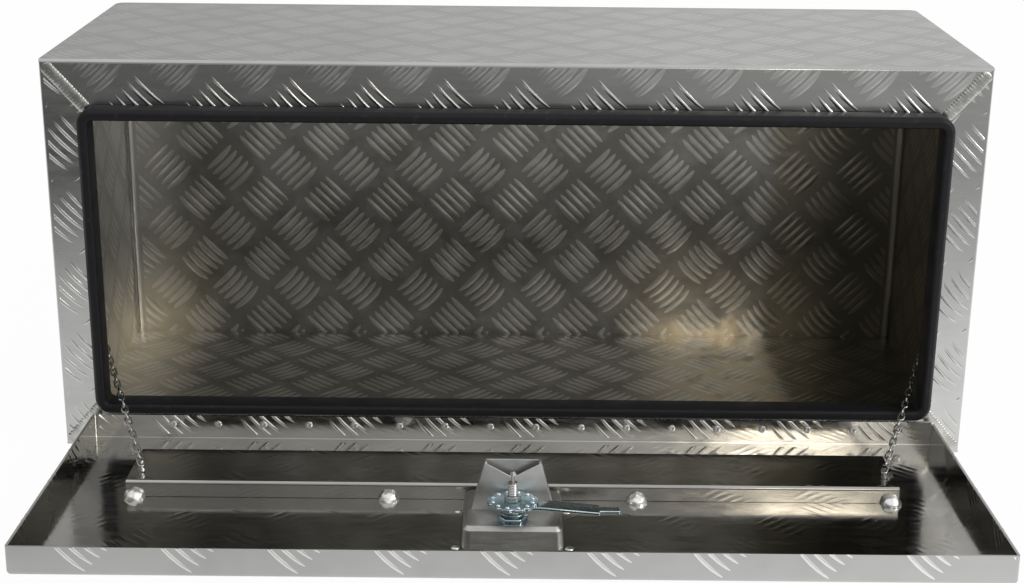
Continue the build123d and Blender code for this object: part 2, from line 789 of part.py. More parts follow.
# L handle, folded flush into the dish; it swings out about a pin in the spindle's tang
ear_inner = tang_width / 2 + ear_gap
ear_outer = ear_inner + ear_width
grip_y = latch_y + handle_reach
boss_face = pivot_z - grip_radius - plug_boss_rise
with BuildPart() as folding_handle:
    with BuildSketch(Plane.YZ.offset(-ear_outer)):
        with Locations((latch_y, pivot_z)):
            RegularPolygon(ear_radius, handle_sides)
        with Locations((latch_y + handle_reach / 2, pivot_z)):
            Rectangle(handle_reach, handle_stem_thickness)
    extrude(amount=2 * ear_outer)
    fork_root = tang_radius + fork_root_gap
    with BuildSketch(Plane.YZ.offset(-ear_inner)):
        with Locations((latch_y + (fork_root - ear_radius) / 2, pivot_z)):
            Rectangle(fork_root + ear_radius, 2 * ear_radius)
    extrude(amount=2 * ear_inner, mode=Mode.SUBTRACT)
    with BuildSketch(Plane.YZ.offset(-grip_long_end)):
        with Locations((grip_y, pivot_z)):
            RegularPolygon(grip_radius, handle_sides)
    extrude(amount=grip_long_end + grip_short_end)
    chamfer(faces().sort_by(Axis.X)[0].edges(), grip_chamfer)
    with BuildSketch(Plane.XY.offset(boss_face)):
        with Locations((0, grip_y)):
            RegularPolygon(plug_boss_radius, handle_sides)
    extrude(amount=plug_boss_rise + grip_radius + handle_stem_thickness / 2)
    with BuildSketch(Plane.YZ.offset(-ear_outer)):
        with Locations((latch_y, pivot_z)):
            RegularPolygon(handle_pin_radius, handle_sides)
    extrude(amount=2 * ear_outer, mode=Mode.SUBTRACT)
    with BuildSketch(Plane.XY.offset(boss_face)):
        with Locations((0, grip_y)):
            RegularPolygon(plug_radius + plug_gap, handle_sides, major_radius=False)
    extrude(amount=plug_length + plug_gap, mode=Mode.SUBTRACT)
save(folding_handle, "folding_handle", door_frame)

with BuildPart() as handle_pin:
    with BuildSketch(Plane.YZ.offset(-ear_outer)):
        with Locations((latch_y, pivot_z)):
            RegularPolygon(handle_pin_radius, handle_sides)
    extrude(amount=2 * ear_outer)
save(handle_pin, "handle_pin", door_frame)

with BuildPart() as key_plug:
    with BuildSketch(Plane.XY.offset(boss_face)):
        with Locations((0, grip_y)):
            Circle(plug_radius)
    extrude(amount=plug_length)
    with BuildSketch(Plane.XY.offset(boss_face)):
        with Locations((0, grip_y)):
            Rectangle(keyway_length, keyway_width)
    extrude(amount=keyway_depth, mode=Mode.SUBTRACT)
save(key_plug, "key_plug", door_frame)

# Headed studs on the stiffener, each through the last link of its chain, in the door's frame
stud_x = stiffener_length / 2 - chain_stud_inset
stud_y = -chain_stud_share * door_length
chain_z = stiffener_top + chain_rise
stud_room = wire / 2 + stud_play
for side, name in ((-1, "chain_stud_left"), (1, "chain_stud_right")):
    with BuildPart() as chain_stud:
        for radius, low, high in (
            (stud_flange_radius, stiffener_top, chain_z - stud_room),
            (stud_radius, chain_z - stud_room, chain_z + stud_room),
            (stud_head_radius, chain_z + stud_room, chain_z + stud_room + stud_head_height),
        ):
            with BuildSketch(Plane.XY.offset(low)):
                with Locations((side * stud_x, stud_y)):
                    RegularPolygon(radius, stud_sides)
            extrude(amount=high - low)
    save(chain_stud, name, door_frame)

# Chain eyes on the side walls and the chains between, in the box's frame
wall_y = front_y + chain_wall_share * door_length
wall_x = half_width - sheet
eye_x = wall_x - chain_wall_gap
for side, name in ((-1, "wall_eye_left"), (1, "wall_eye_right")):
    with BuildPart() as wall_eye:
        with BuildSketch(Plane.XY.offset(chain_wall_z - eye_thickness / 2)):
            with Locations((side * eye_x, wall_y)):
                RegularPolygon(eye_radius, eye_sides)
            with Locations((side * (wall_x + eye_x) / 2, wall_y)):
                Rectangle(wall_x - eye_x, 2 * eye_radius)
            with Locations((side * eye_x, wall_y)):
                RegularPolygon(eye_hole_radius, eye_sides, mode=Mode.SUBTRACT)
        extrude(amount=eye_thickness)
    save(wall_eye, name)

# The first link lies round the stud and the last hooks through the wall eye. The first
# link of the upper run has no near end, so that the runs can part as the door closes.
link_count = upper_links + lower_links
first_end = stud_radius + stud_gap + wire
for side, label in ((-1, "left"), (1, "right")):
    door_end = door_point(side * stud_x, stud_y, chain_z)
    wall_end = Vector(side * eye_x, wall_y, chain_wall_z)
    reach = wall_end - door_end
    along = reach.normalized()
    across = along.cross(Vector(0, 0, 1)).normalized()
    link_pitch = (reach.length + first_end + wire / 2 - link_slack - 2 * wire) / link_count
    link_length = link_pitch + link_slack + 2 * wire
    with BuildPart() as link:
        with BuildSketch(Plane.XY.offset(-wire / 2)):
            Rectangle(link_length, link_width)
            chamfer(vertices(), link_corner)
            Rectangle(link_length - 2 * wire, link_width - 2 * wire, mode=Mode.SUBTRACT)
        extrude(amount=wire)
    with BuildPart() as open_link:
        add(link.part)
        with BuildSketch(Plane.XY.offset(-wire / 2)):
            with Locations((-link_length / 2, 0)):
                Rectangle(2 * open_length, link_width)
        extrude(amount=wire, mode=Mode.SUBTRACT)
    runs = {"lower": range(lower_links), "upper": range(lower_links, link_count)}
    for run_name, indices in runs.items():
        with BuildPart() as chain_run:
            for index in indices:
                start = link_length / 2 - first_end + index * link_pitch
                face = across.cross(along) if index % 2 == 0 else across
                link_plane = Plane(origin=door_end + along * start, x_dir=along, z_dir=face)
                with Locations(link_plane.location):
                    add(open_link.part if index == lower_links else link.part)
        save(chain_run, "chain_" + label + "_" + run_name)
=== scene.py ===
"""Underbody truck tool box in bright tread plate, its door let down on two chains.

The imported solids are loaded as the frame. The raised bars of the tread plate, the weld
ripples, the chain links, the rivet domes and the latch's turned shapes are modelled
here, and every surface gets its finish. Lengths are metres in the box's frame, with the
door's pieces drawn in the door's own frame and then laid in place.
"""

import json
import logging
import math
from collections.abc import Callable, Iterator
from contextlib import contextmanager
from dataclasses import dataclass
from enum import Enum

import bpy
from mathutils import Matrix, Vector

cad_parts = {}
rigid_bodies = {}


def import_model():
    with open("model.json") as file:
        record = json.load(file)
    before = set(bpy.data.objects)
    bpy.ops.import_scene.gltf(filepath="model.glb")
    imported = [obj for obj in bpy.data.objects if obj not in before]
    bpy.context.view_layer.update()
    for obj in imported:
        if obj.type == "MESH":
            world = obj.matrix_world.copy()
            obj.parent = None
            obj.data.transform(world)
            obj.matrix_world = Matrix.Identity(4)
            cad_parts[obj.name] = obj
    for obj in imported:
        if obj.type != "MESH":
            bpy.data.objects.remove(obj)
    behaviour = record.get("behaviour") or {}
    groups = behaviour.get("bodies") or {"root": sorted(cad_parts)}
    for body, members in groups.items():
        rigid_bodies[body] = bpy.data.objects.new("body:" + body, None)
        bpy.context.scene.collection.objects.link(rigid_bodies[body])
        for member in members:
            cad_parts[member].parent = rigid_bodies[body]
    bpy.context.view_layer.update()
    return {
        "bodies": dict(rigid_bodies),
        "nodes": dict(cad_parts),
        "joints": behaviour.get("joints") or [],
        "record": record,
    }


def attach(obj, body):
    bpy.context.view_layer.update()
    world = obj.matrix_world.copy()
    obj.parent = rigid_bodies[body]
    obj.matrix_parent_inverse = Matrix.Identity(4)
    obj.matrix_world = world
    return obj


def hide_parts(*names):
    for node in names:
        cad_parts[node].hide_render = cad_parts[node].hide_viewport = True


LOG = logging.getLogger("tool_box")
MM = 0.001

Point = tuple[float, float, float]
Spot = tuple[float, float]
Outline = list[Spot]
Piece = bpy.types.Object

# A rectangle's x0, x1, y0 and y1, or a ramp's low, high, start and stop
Span = tuple[float, float, float, float]

# Ways as they are seen by someone who faces the door
RIGHT: Point = (1, 0, 0)
LEFT: Point = (-1, 0, 0)
BACK: Point = (0, 1, 0)
FRONT: Point = (0, -1, 0)
UP: Point = (0, 0, 1)

# Sizes that several pieces share

SHEET = 2.5 * MM
BOX_HALF_WIDTH = 457.5 * MM
BOX_HALF_DEPTH = 175.0 * MM
BOX_HEIGHT = 400.0 * MM
DOOR_HALF_WIDTH = 427.0 * MM
DOOR_REACH = 325.0 * MM
DOOR_SETBACK = 3.2 * MM
DOOR_SKIN = -26.6 * MM
DISH_MIDDLE = -226.0 * MM
HINGE = Vector((0, -178.2 * MM, 37.6 * MM))
DOOR_TILT = math.radians(2.0)
MERGE = 0.002 * MM


# Shader nodes


class Wire:
    """A socket of a material, so that shader maths reads as plain expressions."""

    def __init__(self, owner: "Shader", socket: bpy.types.NodeSocket) -> None:
        """Keep the socket and the material that it belongs to."""
        self.owner = owner
        self.socket = socket

    def maths(self, operation: str, *others: "Wire | float") -> "Wire":
        """Pass this value and others through one Math node.

        Args:
            operation: The Math node's operation.
            others: The node's further inputs.

        Returns:
            The node's result.
        """
        values = dict(enumerate((self, *others)))
        return self.owner.node("ShaderNodeMath", {"operation": operation}, values)

    def __add__(self, other: "Wire | float") -> "Wire":
        """Sum."""
        return self.maths("ADD", other)

    def __sub__(self, other: "Wire | float") -> "Wire":
        """Difference."""
        return self.maths("SUBTRACT", other)

    def __rsub__(self, other: float) -> "Wire":
        """Difference from a number."""
        return self.maths("MULTIPLY_ADD", -1.0, other)

    def __mul__(self, other: "Wire | float") -> "Wire":
        """Product."""
        return self.maths("MULTIPLY", other)

    def __abs__(self) -> "Wire":
        """Value without its sign."""
        return self.maths("ABSOLUTE")

    __radd__ = __add__
    __rmul__ = __mul__

    def ramp(self, low: float, high: float, start: float = 0.0, stop: float = 1.0) -> "Wire":
        """Map low to high smoothly onto start to stop.

        Args:
            low: The value that gives start.
            high: The value that gives stop.
            start: The result at low.
            stop: The result at high.

        Returns:
            The mapped value.
        """
        settings = {"interpolation_type": "SMOOTHSTEP"}
        values = {0: self, 1: low, 2: high, 3: start, 4: stop}
        return self.owner.node("ShaderNodeMapRange", settings, values)

    def past(self, edge: float) -> "Wire":
        """1 where this value is greater than an edge, else 0."""
        return self.maths("GREATER_THAN", edge)

    def short_of(self, edge: float) -> "Wire":
        """1 where this value is less than an edge, else 0."""
        return self.maths("LESS_THAN", edge)

    def toward(self, other: "Wire | float", share: "Wire") -> "Wire":
        """This value, moved a share of the way to another."""
        return self + share * (other - self)


class Shader:
    """Builds the nodes of a new material, or of the world."""

    def __init__(self, name: str = "", world: bpy.types.World | None = None) -> None:
        """Start with no nodes."""
        self.block = world or bpy.data.materials.new(name)
        self.block.use_nodes = True
        self.tree = self.block.node_tree
        self.tree.nodes.clear()

    def node(self, kind: str, settings: dict, values: dict, output: int | str = 0) -> Wire:
        """Add a node.

        Args:
            kind: The node's type.
            settings: Its settings, which are set first.
            values: Values or wires for its sockets, by name or index.
            output: Which of its outputs is wanted.

        Returns:
            The wanted output.
        """
        made = self.tree.nodes.new(kind)
        for key, value in settings.items():
            setattr(made, key, value)
        for key, value in values.items():
            if isinstance(value, Wire):
                self.tree.links.new(value.socket, made.inputs[key])
            else:
                made.inputs[key].default_value = value
        if not made.outputs:
            return Wire(self, None)
        return Wire(self, made.outputs[output])

    def place(self) -> Wire:
        """Object coordinates, which are the box's frame at rest."""
        return self.node("ShaderNodeTexCoord", {}, {}, "Object")

    def split(self, vector: Wire) -> tuple[Wire, Wire, Wire]:
        """The three numbers of a vector."""
        outputs = self.node("ShaderNodeSeparateXYZ", {}, {0: vector}).socket.node.outputs
        return Wire(self, outputs[0]), Wire(self, outputs[1]), Wire(self, outputs[2])

    def stretched(self, vector: Wire, scale: Point) -> Wire:
        """A vector scaled along each axis."""
        return self.node("ShaderNodeVectorMath", {"operation": "MULTIPLY"}, {0: vector, 1: scale})

    def noise(self, vector: Wire, scale: float, detail: float = 2.0, rough: float = 0.5) -> Wire:
        """Noise at a scale in cycles a metre."""
        values = {"Vector": vector, "Scale": scale, "Detail": detail, "Roughness": rough}
        return self.node("ShaderNodeTexNoise", {}, values)

    def mix(self, factor: "Wire | float", first: "Wire | Point", second: "Wire | Point") -> Wire:
        """Blend from one colour to another."""
        values = {0: factor, 6: opaque(first), 7: opaque(second)}
        return self.node("ShaderNodeMix", {"data_type": "RGBA"}, values, 2)

    def bump(self, height: Wire, distance: float, strength: float, under: Wire | None = None) -> Wire:
        """A normal from a height, over another normal if there is one."""
        values = {"Height": height, "Distance": distance, "Strength": strength}
        if under:
            values["Normal"] = under
        return self.node("ShaderNodeBump", {}, values)

    def close(self, surface: Wire) -> bpy.types.Material:
        """Send a surface to the output.

        Args:
            surface: The shader to show.

        Returns:
            The finished material.
        """
        self.node("ShaderNodeOutputMaterial", {}, {"Surface": surface})
        return self.block

    def metal(self, values: dict) -> bpy.types.Material:
        """Close with a principled surface that is metal all over.

        Args:
            values: Values or wires for the surface's sockets.

        Returns:
            The finished material.
        """
        return self.close(self.node("ShaderNodeBsdfPrincipled", {}, {"Metallic": 1.0, **values}))


def dimmed(colour: Point, share: float) -> Point:
    """A darker form of a colour."""
    return tuple(share * value for value in colour)


def opaque(colour: "Wire | Point") -> "Wire | tuple[float, float, float, float]":
    """A colour with full alpha, or a wire as it is."""
    return colour if isinstance(colour, Wire) else (*colour, 1.0)


# Finishes


class Sheet(Enum):
    """Which folded sheet a plate finish is for."""

    BOX = "box"
    DOOR = "door"


@dataclass(frozen=True)
class PlateFinish:
    """Bright rolled aluminium, rougher inside the box than outside; light and shade are painted into its
    colour: painted shade and a painted warm reflection make the inside darker and browner, with painted
    light and painted warm light in patches, and painted light on the door's hinge flange.
    """

    name: str
    sheet: Sheet
    outer: Point = (0.60, 0.60, 0.585)
    skin: Point = (0.54, 0.53, 0.50)
    # Inside the box: painted shade, darker and browner than the outside, mottled at random between these two
    # colours.
    inner: Point = (0.35, 0.342, 0.315)
    darker_inner_shade: Point = (0.25, 0.243, 0.218)
    # Painted light near the roof and in a strip on the left inside the box.
    lit: Point = (0.92, 0.905, 0.86)
    # Painted shade towards the right inside the box.
    shade: Point = (0.27, 0.25, 0.20)
    # Painted warm light, a pool on the floor right of the middle and a fainter one low on the left.
    painted_warm_light: Point = (0.92, 0.82, 0.64)
    # Painted light on the inner face of the door's hinge flange.
    flange: Point = (0.86, 0.85, 0.81)
    roughness: float = 0.17
    inner_roughness: float = 0.34
    skin_roughness: float = 0.12
    outer_dimming: float = 0.88
    skin_dimming: float = 0.8
    wave_depth: float = 0.0009
    grain_depth: float = 0.00003
    flange_depth: float = 8.0 * MM
    raggedness: Spot = (0.05, 0.09)
    # Where the painted light, painted shade and painted warm light fall inside the box.
    lit_height: Spot = (0.31, 0.355)
    lit_from: Spot = (-0.34, -0.22)
    lit_left: Spot = (-0.43, -0.36)
    shade_from: Spot = (0.29, 0.32)
    warm_light_from: Spot = (0.12, 0.22)
    warm_light_to: Spot = (0.28, 0.31)
    warm_light_height: float = 0.03
    left_warm_light_to: Spot = (-0.42, -0.34)
    left_warm_light_height: float = 0.09

    def make(self) -> bpy.types.Material:
        """Build the material.

        Returns:
            The plate's material.
        """
        s = Shader(self.name)
        place = s.place()
        x, y, z = s.split(place)
        cloud = s.noise(place, 9.0, 3.0, 0.6)
        smear = s.noise(s.stretched(place, (30.0, 130.0, 130.0)), 1.0, 3.0, 0.6)
        outside = s.mix(cloud.ramp(0.35, 0.7), self.outer, dimmed(self.outer, self.outer_dimming))
        if self.sheet is Sheet.BOX:
            # Inside the box the colour carries painted shade and painted light, laid on by inside_colour.
            within = self.within_box(x, y, z)
            colour = s.mix(within, outside, self.inside_colour(s, x, z, place))
            duller = self.inner_roughness - self.roughness
        else:
            within = self.within_door(x, y, z)
            skin = s.mix(cloud.ramp(0.3, 0.7), self.skin, dimmed(self.skin, self.skin_dimming))
            # Painted light: near the hinge the skin colour gives way to the lighter flange colour.
            inner = s.mix(y.past(HINGE.y - self.flange_depth), skin, self.flange)
            colour = s.mix(within, outside, inner)
            duller = self.skin_roughness - self.roughness
        rough = smear.ramp(0.3, 0.7, self.roughness - 0.03, self.roughness + 0.06) + within * duller
        wave = s.bump(s.noise(place, 16.0, 1.0), self.wave_depth, 0.5)
        grain = s.bump(smear, self.grain_depth, 0.6, wave)
        return s.metal({"Base Color": colour, "Roughness": rough, "Normal": grain})

    def within_box(self, x: Wire, y: Wire, z: Wire) -> Wire:
        """1 on the inner faces of the box, else 0. The edges run mid-sheet."""
        within = abs(x).short_of(BOX_HALF_WIDTH - SHEET / 2) * abs(y).short_of(BOX_HALF_DEPTH - SHEET / 2)
        return within * z.past(SHEET / 2) * z.short_of(BOX_HEIGHT - SHEET / 2)

    def within_door(self, x: Wire, y: Wire, z: Wire) -> Wire:
        """1 on the inner faces of the door's tray as it hangs open, else 0."""
        away = y - HINGE.y
        rise = z - HINGE.z
        level = away * math.sin(DOOR_TILT) + rise * math.cos(DOOR_TILT)
        reach = away * math.cos(DOOR_TILT) - rise * math.sin(DOOR_TILT)
        within = level.past(DOOR_SKIN + SHEET / 2) * abs(x).short_of(DOOR_HALF_WIDTH - SHEET / 2)
        return within * reach.past(SHEET / 2 - DOOR_REACH) * reach.short_of(-DOOR_SETBACK - SHEET / 2)

    def inside_colour(self, s: Shader, x: Wire, z: Wire, place: Wire) -> Wire:
        """Colour of the box's inner faces, with light and shade painted in: painted light near the roof and
        in a strip on the left, painted shade to the right, and painted warm light low on the floor right of
        the middle and low on the left.

        Args:
            s: The material being built.
            x: Place across the box.
            z: Height.
            place: The whole place.

        Returns:
            The colour.
        """
        ragged = s.noise(place, 26.0, 3.0, 0.6)
        shift = ragged - 0.5
        across = x + shift * self.raggedness[0]
        high = z + shift * self.raggedness[1]
        # Painted light near the roof and in a strip down the left.
        lit = high.ramp(*self.lit_height) * across.ramp(*self.lit_from)
        lit = lit + across.ramp(*self.lit_left, 0.55, 0.0)
        mottle = s.noise(place, 15.0, 4.0, 0.65).ramp(0.38, 0.62)
        colour = s.mix(lit * 0.9, s.mix(mottle, self.inner, self.darker_inner_shade), self.lit)
        # Painted shade towards the right.
        shade = across.ramp(*self.shade_from)
        colour = s.mix(shade * 0.9, colour, self.shade)
        # Painted warm light low on the floor right of the middle, and fainter low on the left.
        warm_light = across.ramp(*self.warm_light_from) * across.ramp(*self.warm_light_to, 1.0, 0.0)
        warm_light = warm_light * high.ramp(0.0, self.warm_light_height, 1.0, 0.0)
        left = across.ramp(*self.left_warm_light_to, 1.0, 0.0) * high.ramp(0.0, self.left_warm_light_height, 0.5, 0.0)
        return s.mix(warm_light + left, colour, self.painted_warm_light)


@dataclass(frozen=True)
class MetalFinish:
    """A plain metal with fine grain and a little waviness."""

    name: str
    colour: Point
    second: Point
    roughness: float
    grain: Point = (40.0, 40.0, 40.0)
    grain_depth: float = 0.000008
    wave_depth: float = 0.0002

    def make(self) -> bpy.types.Material:
        """Build the material.

        Returns:
            The metal's material.
        """
        s = Shader(self.name)
        place = s.place()
        cloud = s.noise(place, 60.0, 3.0, 0.6)
        grain = s.noise(s.stretched(place, self.grain), 10.0, 3.0, 0.6)
        wave = s.bump(s.noise(place, 90.0, 1.0), self.wave_depth, 0.5)
        fine = s.bump(grain, self.grain_depth, 0.6, wave)
        colour = s.mix(cloud.ramp(0.35, 0.65), self.colour, self.second)
        rough = grain.ramp(0.3, 0.7, self.roughness - 0.04, self.roughness + 0.06)
        return s.metal({"Base Color": colour, "Roughness": rough, "Normal": fine})


@dataclass(frozen=True)
class RubberFinish:
    """Black extruded rubber with a soft sheen and faint dust."""

    name: str = "black rubber"
    colour: Point = (0.012, 0.012, 0.014)
    dust: Point = (0.05, 0.05, 0.05)

    def make(self) -> bpy.types.Material:
        """Build the material.

        Returns:
            The rubber's material.
        """
        s = Shader(self.name)
        place = s.place()
        dust = s.noise(place, 120.0, 4.0, 0.7)
        length = s.noise(place, 22.0, 2.0)
        colour = s.mix(dust.ramp(0.55, 0.8, 0.0, 0.5), self.colour, self.dust)
        rough = length.ramp(0.3, 0.7, 0.36, 0.52)
        normal = s.bump(length, 0.0012, 0.4)
        surface = s.node(
            "ShaderNodeBsdfPrincipled",
            {},
            {"Base Color": colour, "Roughness": rough, "Specular IOR Level": 0.2, "Normal": normal},
        )
        return s.close(surface)


# Modelling helpers


def nothing_selected() -> None:
    """Leave edit mode and deselect every object."""
    if bpy.context.object and bpy.context.object.mode != "OBJECT":
        bpy.ops.object.mode_set(mode="OBJECT")
    bpy.ops.object.select_all(action="DESELECT")


def take(piece: Piece) -> None:
    """Make a piece the only one selected, and active."""
    nothing_selected()
    piece.select_set(True)
    bpy.context.view_layer.objects.active = piece


@contextmanager
def editing(piece: Piece) -> Iterator[None]:
    """Open a piece in edit mode with all of it selected, and close it afterwards."""
    take(piece)
    bpy.ops.object.mode_set(mode="EDIT")
    bpy.ops.mesh.select_all(action="SELECT")
    yield
    bpy.ops.object.mode_set(mode="OBJECT")


def linked(name: str, data: bpy.types.ID) -> Piece:
    """Put data into the scene as an object at the origin."""
    piece = bpy.data.objects.new(name, data)
    bpy.context.scene.collection.objects.link(piece)
    return piece


def settle(piece: Piece, matrix: Matrix = Matrix.Identity(4)) -> Piece:
    """Put a piece's place into its mesh and leave its object at the origin.

    Args:
        piece: The piece.
        matrix: A further placing, after the object's own.

    Returns:
        The piece.
    """
    bpy.context.view_layer.update()
    piece.data.transform(matrix @ piece.matrix_world)
    piece.matrix_world = Matrix.Identity(4)
    return piece


def smoothed(piece: Piece, angle: float | None = None) -> Piece:
    """Shade a piece smoothly.

    Args:
        piece: The piece.
        angle: The sharpest edge that is smoothed, or none for all of them.

    Returns:
        The piece.
    """
    take(piece)
    if angle is None:
        bpy.ops.object.shade_smooth()
    else:
        bpy.ops.object.shade_smooth_by_angle(angle=angle)
    return piece


def applied(piece: Piece, kind: str, settings: dict) -> None:
    """Add one modifier to a piece and apply it.

    Args:
        piece: The piece.
        kind: The modifier's type.
        settings: The modifier's settings.
    """
    take(piece)
    modifier = piece.modifiers.new(kind.lower(), kind)
    for key, value in settings.items():
        setattr(modifier, key, value)
    bpy.ops.object.modifier_apply(modifier=modifier.name)


def repeated(piece: Piece, count: int, step: Point) -> None:
    """Repeat a piece in a row.

    Args:
        piece: The piece.
        count: How many there are in the row.
        step: The way from one to the next.
    """
    row = {"count": count, "use_relative_offset": False, "use_constant_offset": True}
    applied(piece, "ARRAY", {**row, "constant_offset_displace": step})


def joined(name: str, pieces: list[Piece]) -> Piece:
    """Join several pieces into one.

    Args:
        name: The joined piece's name.
        pieces: The pieces.

    Returns:
        The joined piece.
    """
    nothing_selected()
    for piece in [piece for piece in pieces if not piece.data.vertices]:
        pieces.remove(piece)
        bpy.data.objects.remove(piece)
    for piece in pieces:
        piece.select_set(True)
    bpy.context.view_layer.objects.active = pieces[0]
    if len(pieces) > 1:
        bpy.ops.object.join()
    pieces[0].name = name
    pieces[0].data.name = name
    return pieces[0]


def copied(name: str, piece: Piece, places: list[Matrix]) -> Piece:
    """Copy a modelled piece to several places, join the copies and drop the pattern.

    Args:
        name: The joined copies' name.
        piece: The pattern.
        places: Where each copy goes.

    Returns:
        The joined copies.
    """
    pattern = piece.data
    bpy.data.objects.remove(piece)
    copies = []
    for place in places:
        mesh = pattern.copy()
        mesh.transform(place)
        copies.append(linked(name, mesh))
    return joined(name, copies)


def half_ball(size: Point, segments: int, rings: int) -> Piece:
    """Model the upper half of a squashed ball on the XY plane.

    Args:
        size: Its half widths and its height.
        segments: Steps round it.
        rings: Steps from pole to pole of the whole ball.

    Returns:
        The half ball, open below.
    """
    nothing_selected()
    bpy.ops.mesh.primitive_uv_sphere_add(segments=segments, ring_count=rings, radius=1.0, scale=size)
    piece = settle(bpy.context.object)
    with editing(piece):
        bpy.ops.mesh.bisect(plane_co=(0, 0, 0), plane_no=(0, 0, -1), clear_outer=True)
    return piece


def trim(piece: Piece, corners: Outline) -> None:
    """Cut a piece to a convex outline in its own XY plane.

    Args:
        piece: The piece.
        corners: The outline's corners, anticlockwise.
    """
    with editing(piece):
        for start, end in zip(corners, corners[1:] + corners[:1]):
            run = Vector((end[0] - start[0], end[1] - start[1], 0)).normalized()
            cut = {"plane_co": (*start, 0), "plane_no": (run.y, -run.x, 0)}
            bpy.ops.mesh.select_all(action="SELECT")
            bpy.ops.mesh.bisect(**cut, clear_outer=True, use_fill=True)


def roughened(piece: Piece, depth: float, scale: float) -> None:
    """Make a cast or molten surface uneven.

    Args:
        piece: The piece.
        depth: How far the surface moves in all.
        scale: The size of the lumps.
    """
    texture = bpy.data.textures.new(piece.name, "CLOUDS")
    texture.noise_scale = scale
    applied(piece, "DISPLACE", {"texture": texture, "strength": depth, "mid_level": 0.5})
    smoothed(piece)


def moved(piece: Piece, chosen: Callable[[Vector], bool], way: Point) -> None:
    """Move the corners of a piece that a test picks.

    Args:
        piece: The piece.
        chosen: The test of a corner's place.
        way: How far the picked corners move.
    """
    with editing(piece):
        bpy.ops.mesh.select_mode(type="VERT")
        bpy.ops.mesh.select_all(action="DESELECT")
    for vertex in piece.data.vertices:
        vertex.select = chosen(vertex.co)
    bpy.ops.object.mode_set(mode="EDIT")
    bpy.ops.transform.translate(value=way)
    bpy.ops.object.mode_set(mode="OBJECT")


def mended(piece: Piece) -> None:
    """Merge a piece's doubled corners and turn its faces outwards."""
    with editing(piece):
        bpy.ops.mesh.remove_doubles(threshold=MERGE)
        bpy.ops.mesh.normals_make_consistent(inside=False)


@dataclass
class Workshop:
    """Dresses pieces, hangs them on their bodies and logs what was made."""

    finishes: dict[str, bpy.types.Material]

    def hang(
        self, piece: Piece, finish: str, body: str, slot: str, stands_for: tuple[str, ...] = ()
    ) -> None:
        """Give a finished piece its material and body, and hide the CAD nodes that it replaces.

        Args:
            piece: The piece, in place.
            finish: The finish's name.
            body: The CAD body that it moves with.
            slot: The record's material slot; not used.
            stands_for: CAD nodes that it replaces.
        """
        if not piece.data.materials:
            piece.data.materials.append(self.finishes[finish])
        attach(piece, body)
        if stands_for:
            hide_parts(*stands_for)
        LOG.info("%s: %d faces on %s", piece.name, len(piece.data.polygons), body)

    def dress(self, node: Piece, finish: str) -> None:
        """Give a CAD node its material."""
        if not node.material_slots:
            node.data.materials.append(None)
        for holder in node.material_slots:
            holder.link = "OBJECT"
            holder.material = self.finishes[finish]


# Frames and outlines


def door_matrix() -> Matrix:
    """The door's frame: X along the hinge, -Y away from the box, +Z out of the inner skin."""
    return Matrix.Translation(HINGE) @ Matrix.Rotation(-DOOR_TILT, 4, "X")


def face_frame(origin: Point, right: Point, up: Point) -> Matrix:
    """A face's frame from its origin, the way right and the way up, as seen from outside."""
    x, y = Vector(right).normalized(), Vector(up).normalized()
    columns = Matrix((x, y, x.cross(y))).transposed().to_4x4()
    return Matrix.Translation(origin) @ columns


def rectangle(x0: float, x1: float, y0: float, y1: float) -> Outline:
    """The corners of a rectangle, anticlockwise."""
    return [(x0, y0), (x1, y0), (x1, y1), (x0, y1)]


def round_hole(outer: Span, hole: Span) -> list[Outline]:
    """Split a rectangle with a rectangular hole into four rectangles.

    Args:
        outer: The rectangle as x0, x1, y0, y1.
        hole: The hole in the same form.

    Returns:
        Four outlines, left, right, below and above the hole.
    """
    x0, x1, y0, y1 = outer
    a0, a1, b0, b1 = hole
    return [
        rectangle(x0, a0, y0, y1),
        rectangle(a1, x1, y0, y1),
        rectangle(a0, a1, y0, b0),
        rectangle(a0, a1, b1, y1),
    ]


# Tread bars


@dataclass(frozen=True)
class Bars:
    """One kind of raised bar. Groups of one lean stand a pitch apart."""

    finish: str
    body: str
    height: float = 0.7 * MM
    pitch: float = 74.3 * MM
    half_width: float = 1.9 * MM
    crown_share: float = 0.4


@dataclass(frozen=True)
class SoftBars(Bars):
    """Broad, low bars, as the pattern shows on the sheet's other side or under a glare."""

    half_width: float = 3.6 * MM
    crown_share: float = 0.3


# The bar finishes are lighter copies of the plate's finish: a painted highlight on the bars.
BOX_BARS = Bars("box_bars_painted_highlight", "box")
TOP_BARS = SoftBars("top_bars_painted_highlight", "box", 0.12 * MM)
RAIL_BARS = SoftBars("top_bars_painted_highlight", "box", 0.42 * MM)
INNER_BARS = SoftBars("inner_bars_painted_highlight", "box", 0.4 * MM)
DOOR_BARS = Bars("door_bars_painted_highlight", "door", pitch=89.5 * MM)
FAINT_BARS = SoftBars("door", "door", 0.13 * MM, 89.5 * MM)


@dataclass(frozen=True)
class Face:
    """A face of a sheet: its frame, its convex outlines and the bars on it.

    The frame is an origin, the way right and the way up. A group that falls to the right
    stands at the start, and leans names which of the two leans are laid.
    """

    origin: Point
    right: Point
    up: Point
    outlines: list[Outline]
    bars: Bars
    start: Spot = (0.0, 0.0)
    leans: tuple[int, ...] = (-1, 1)


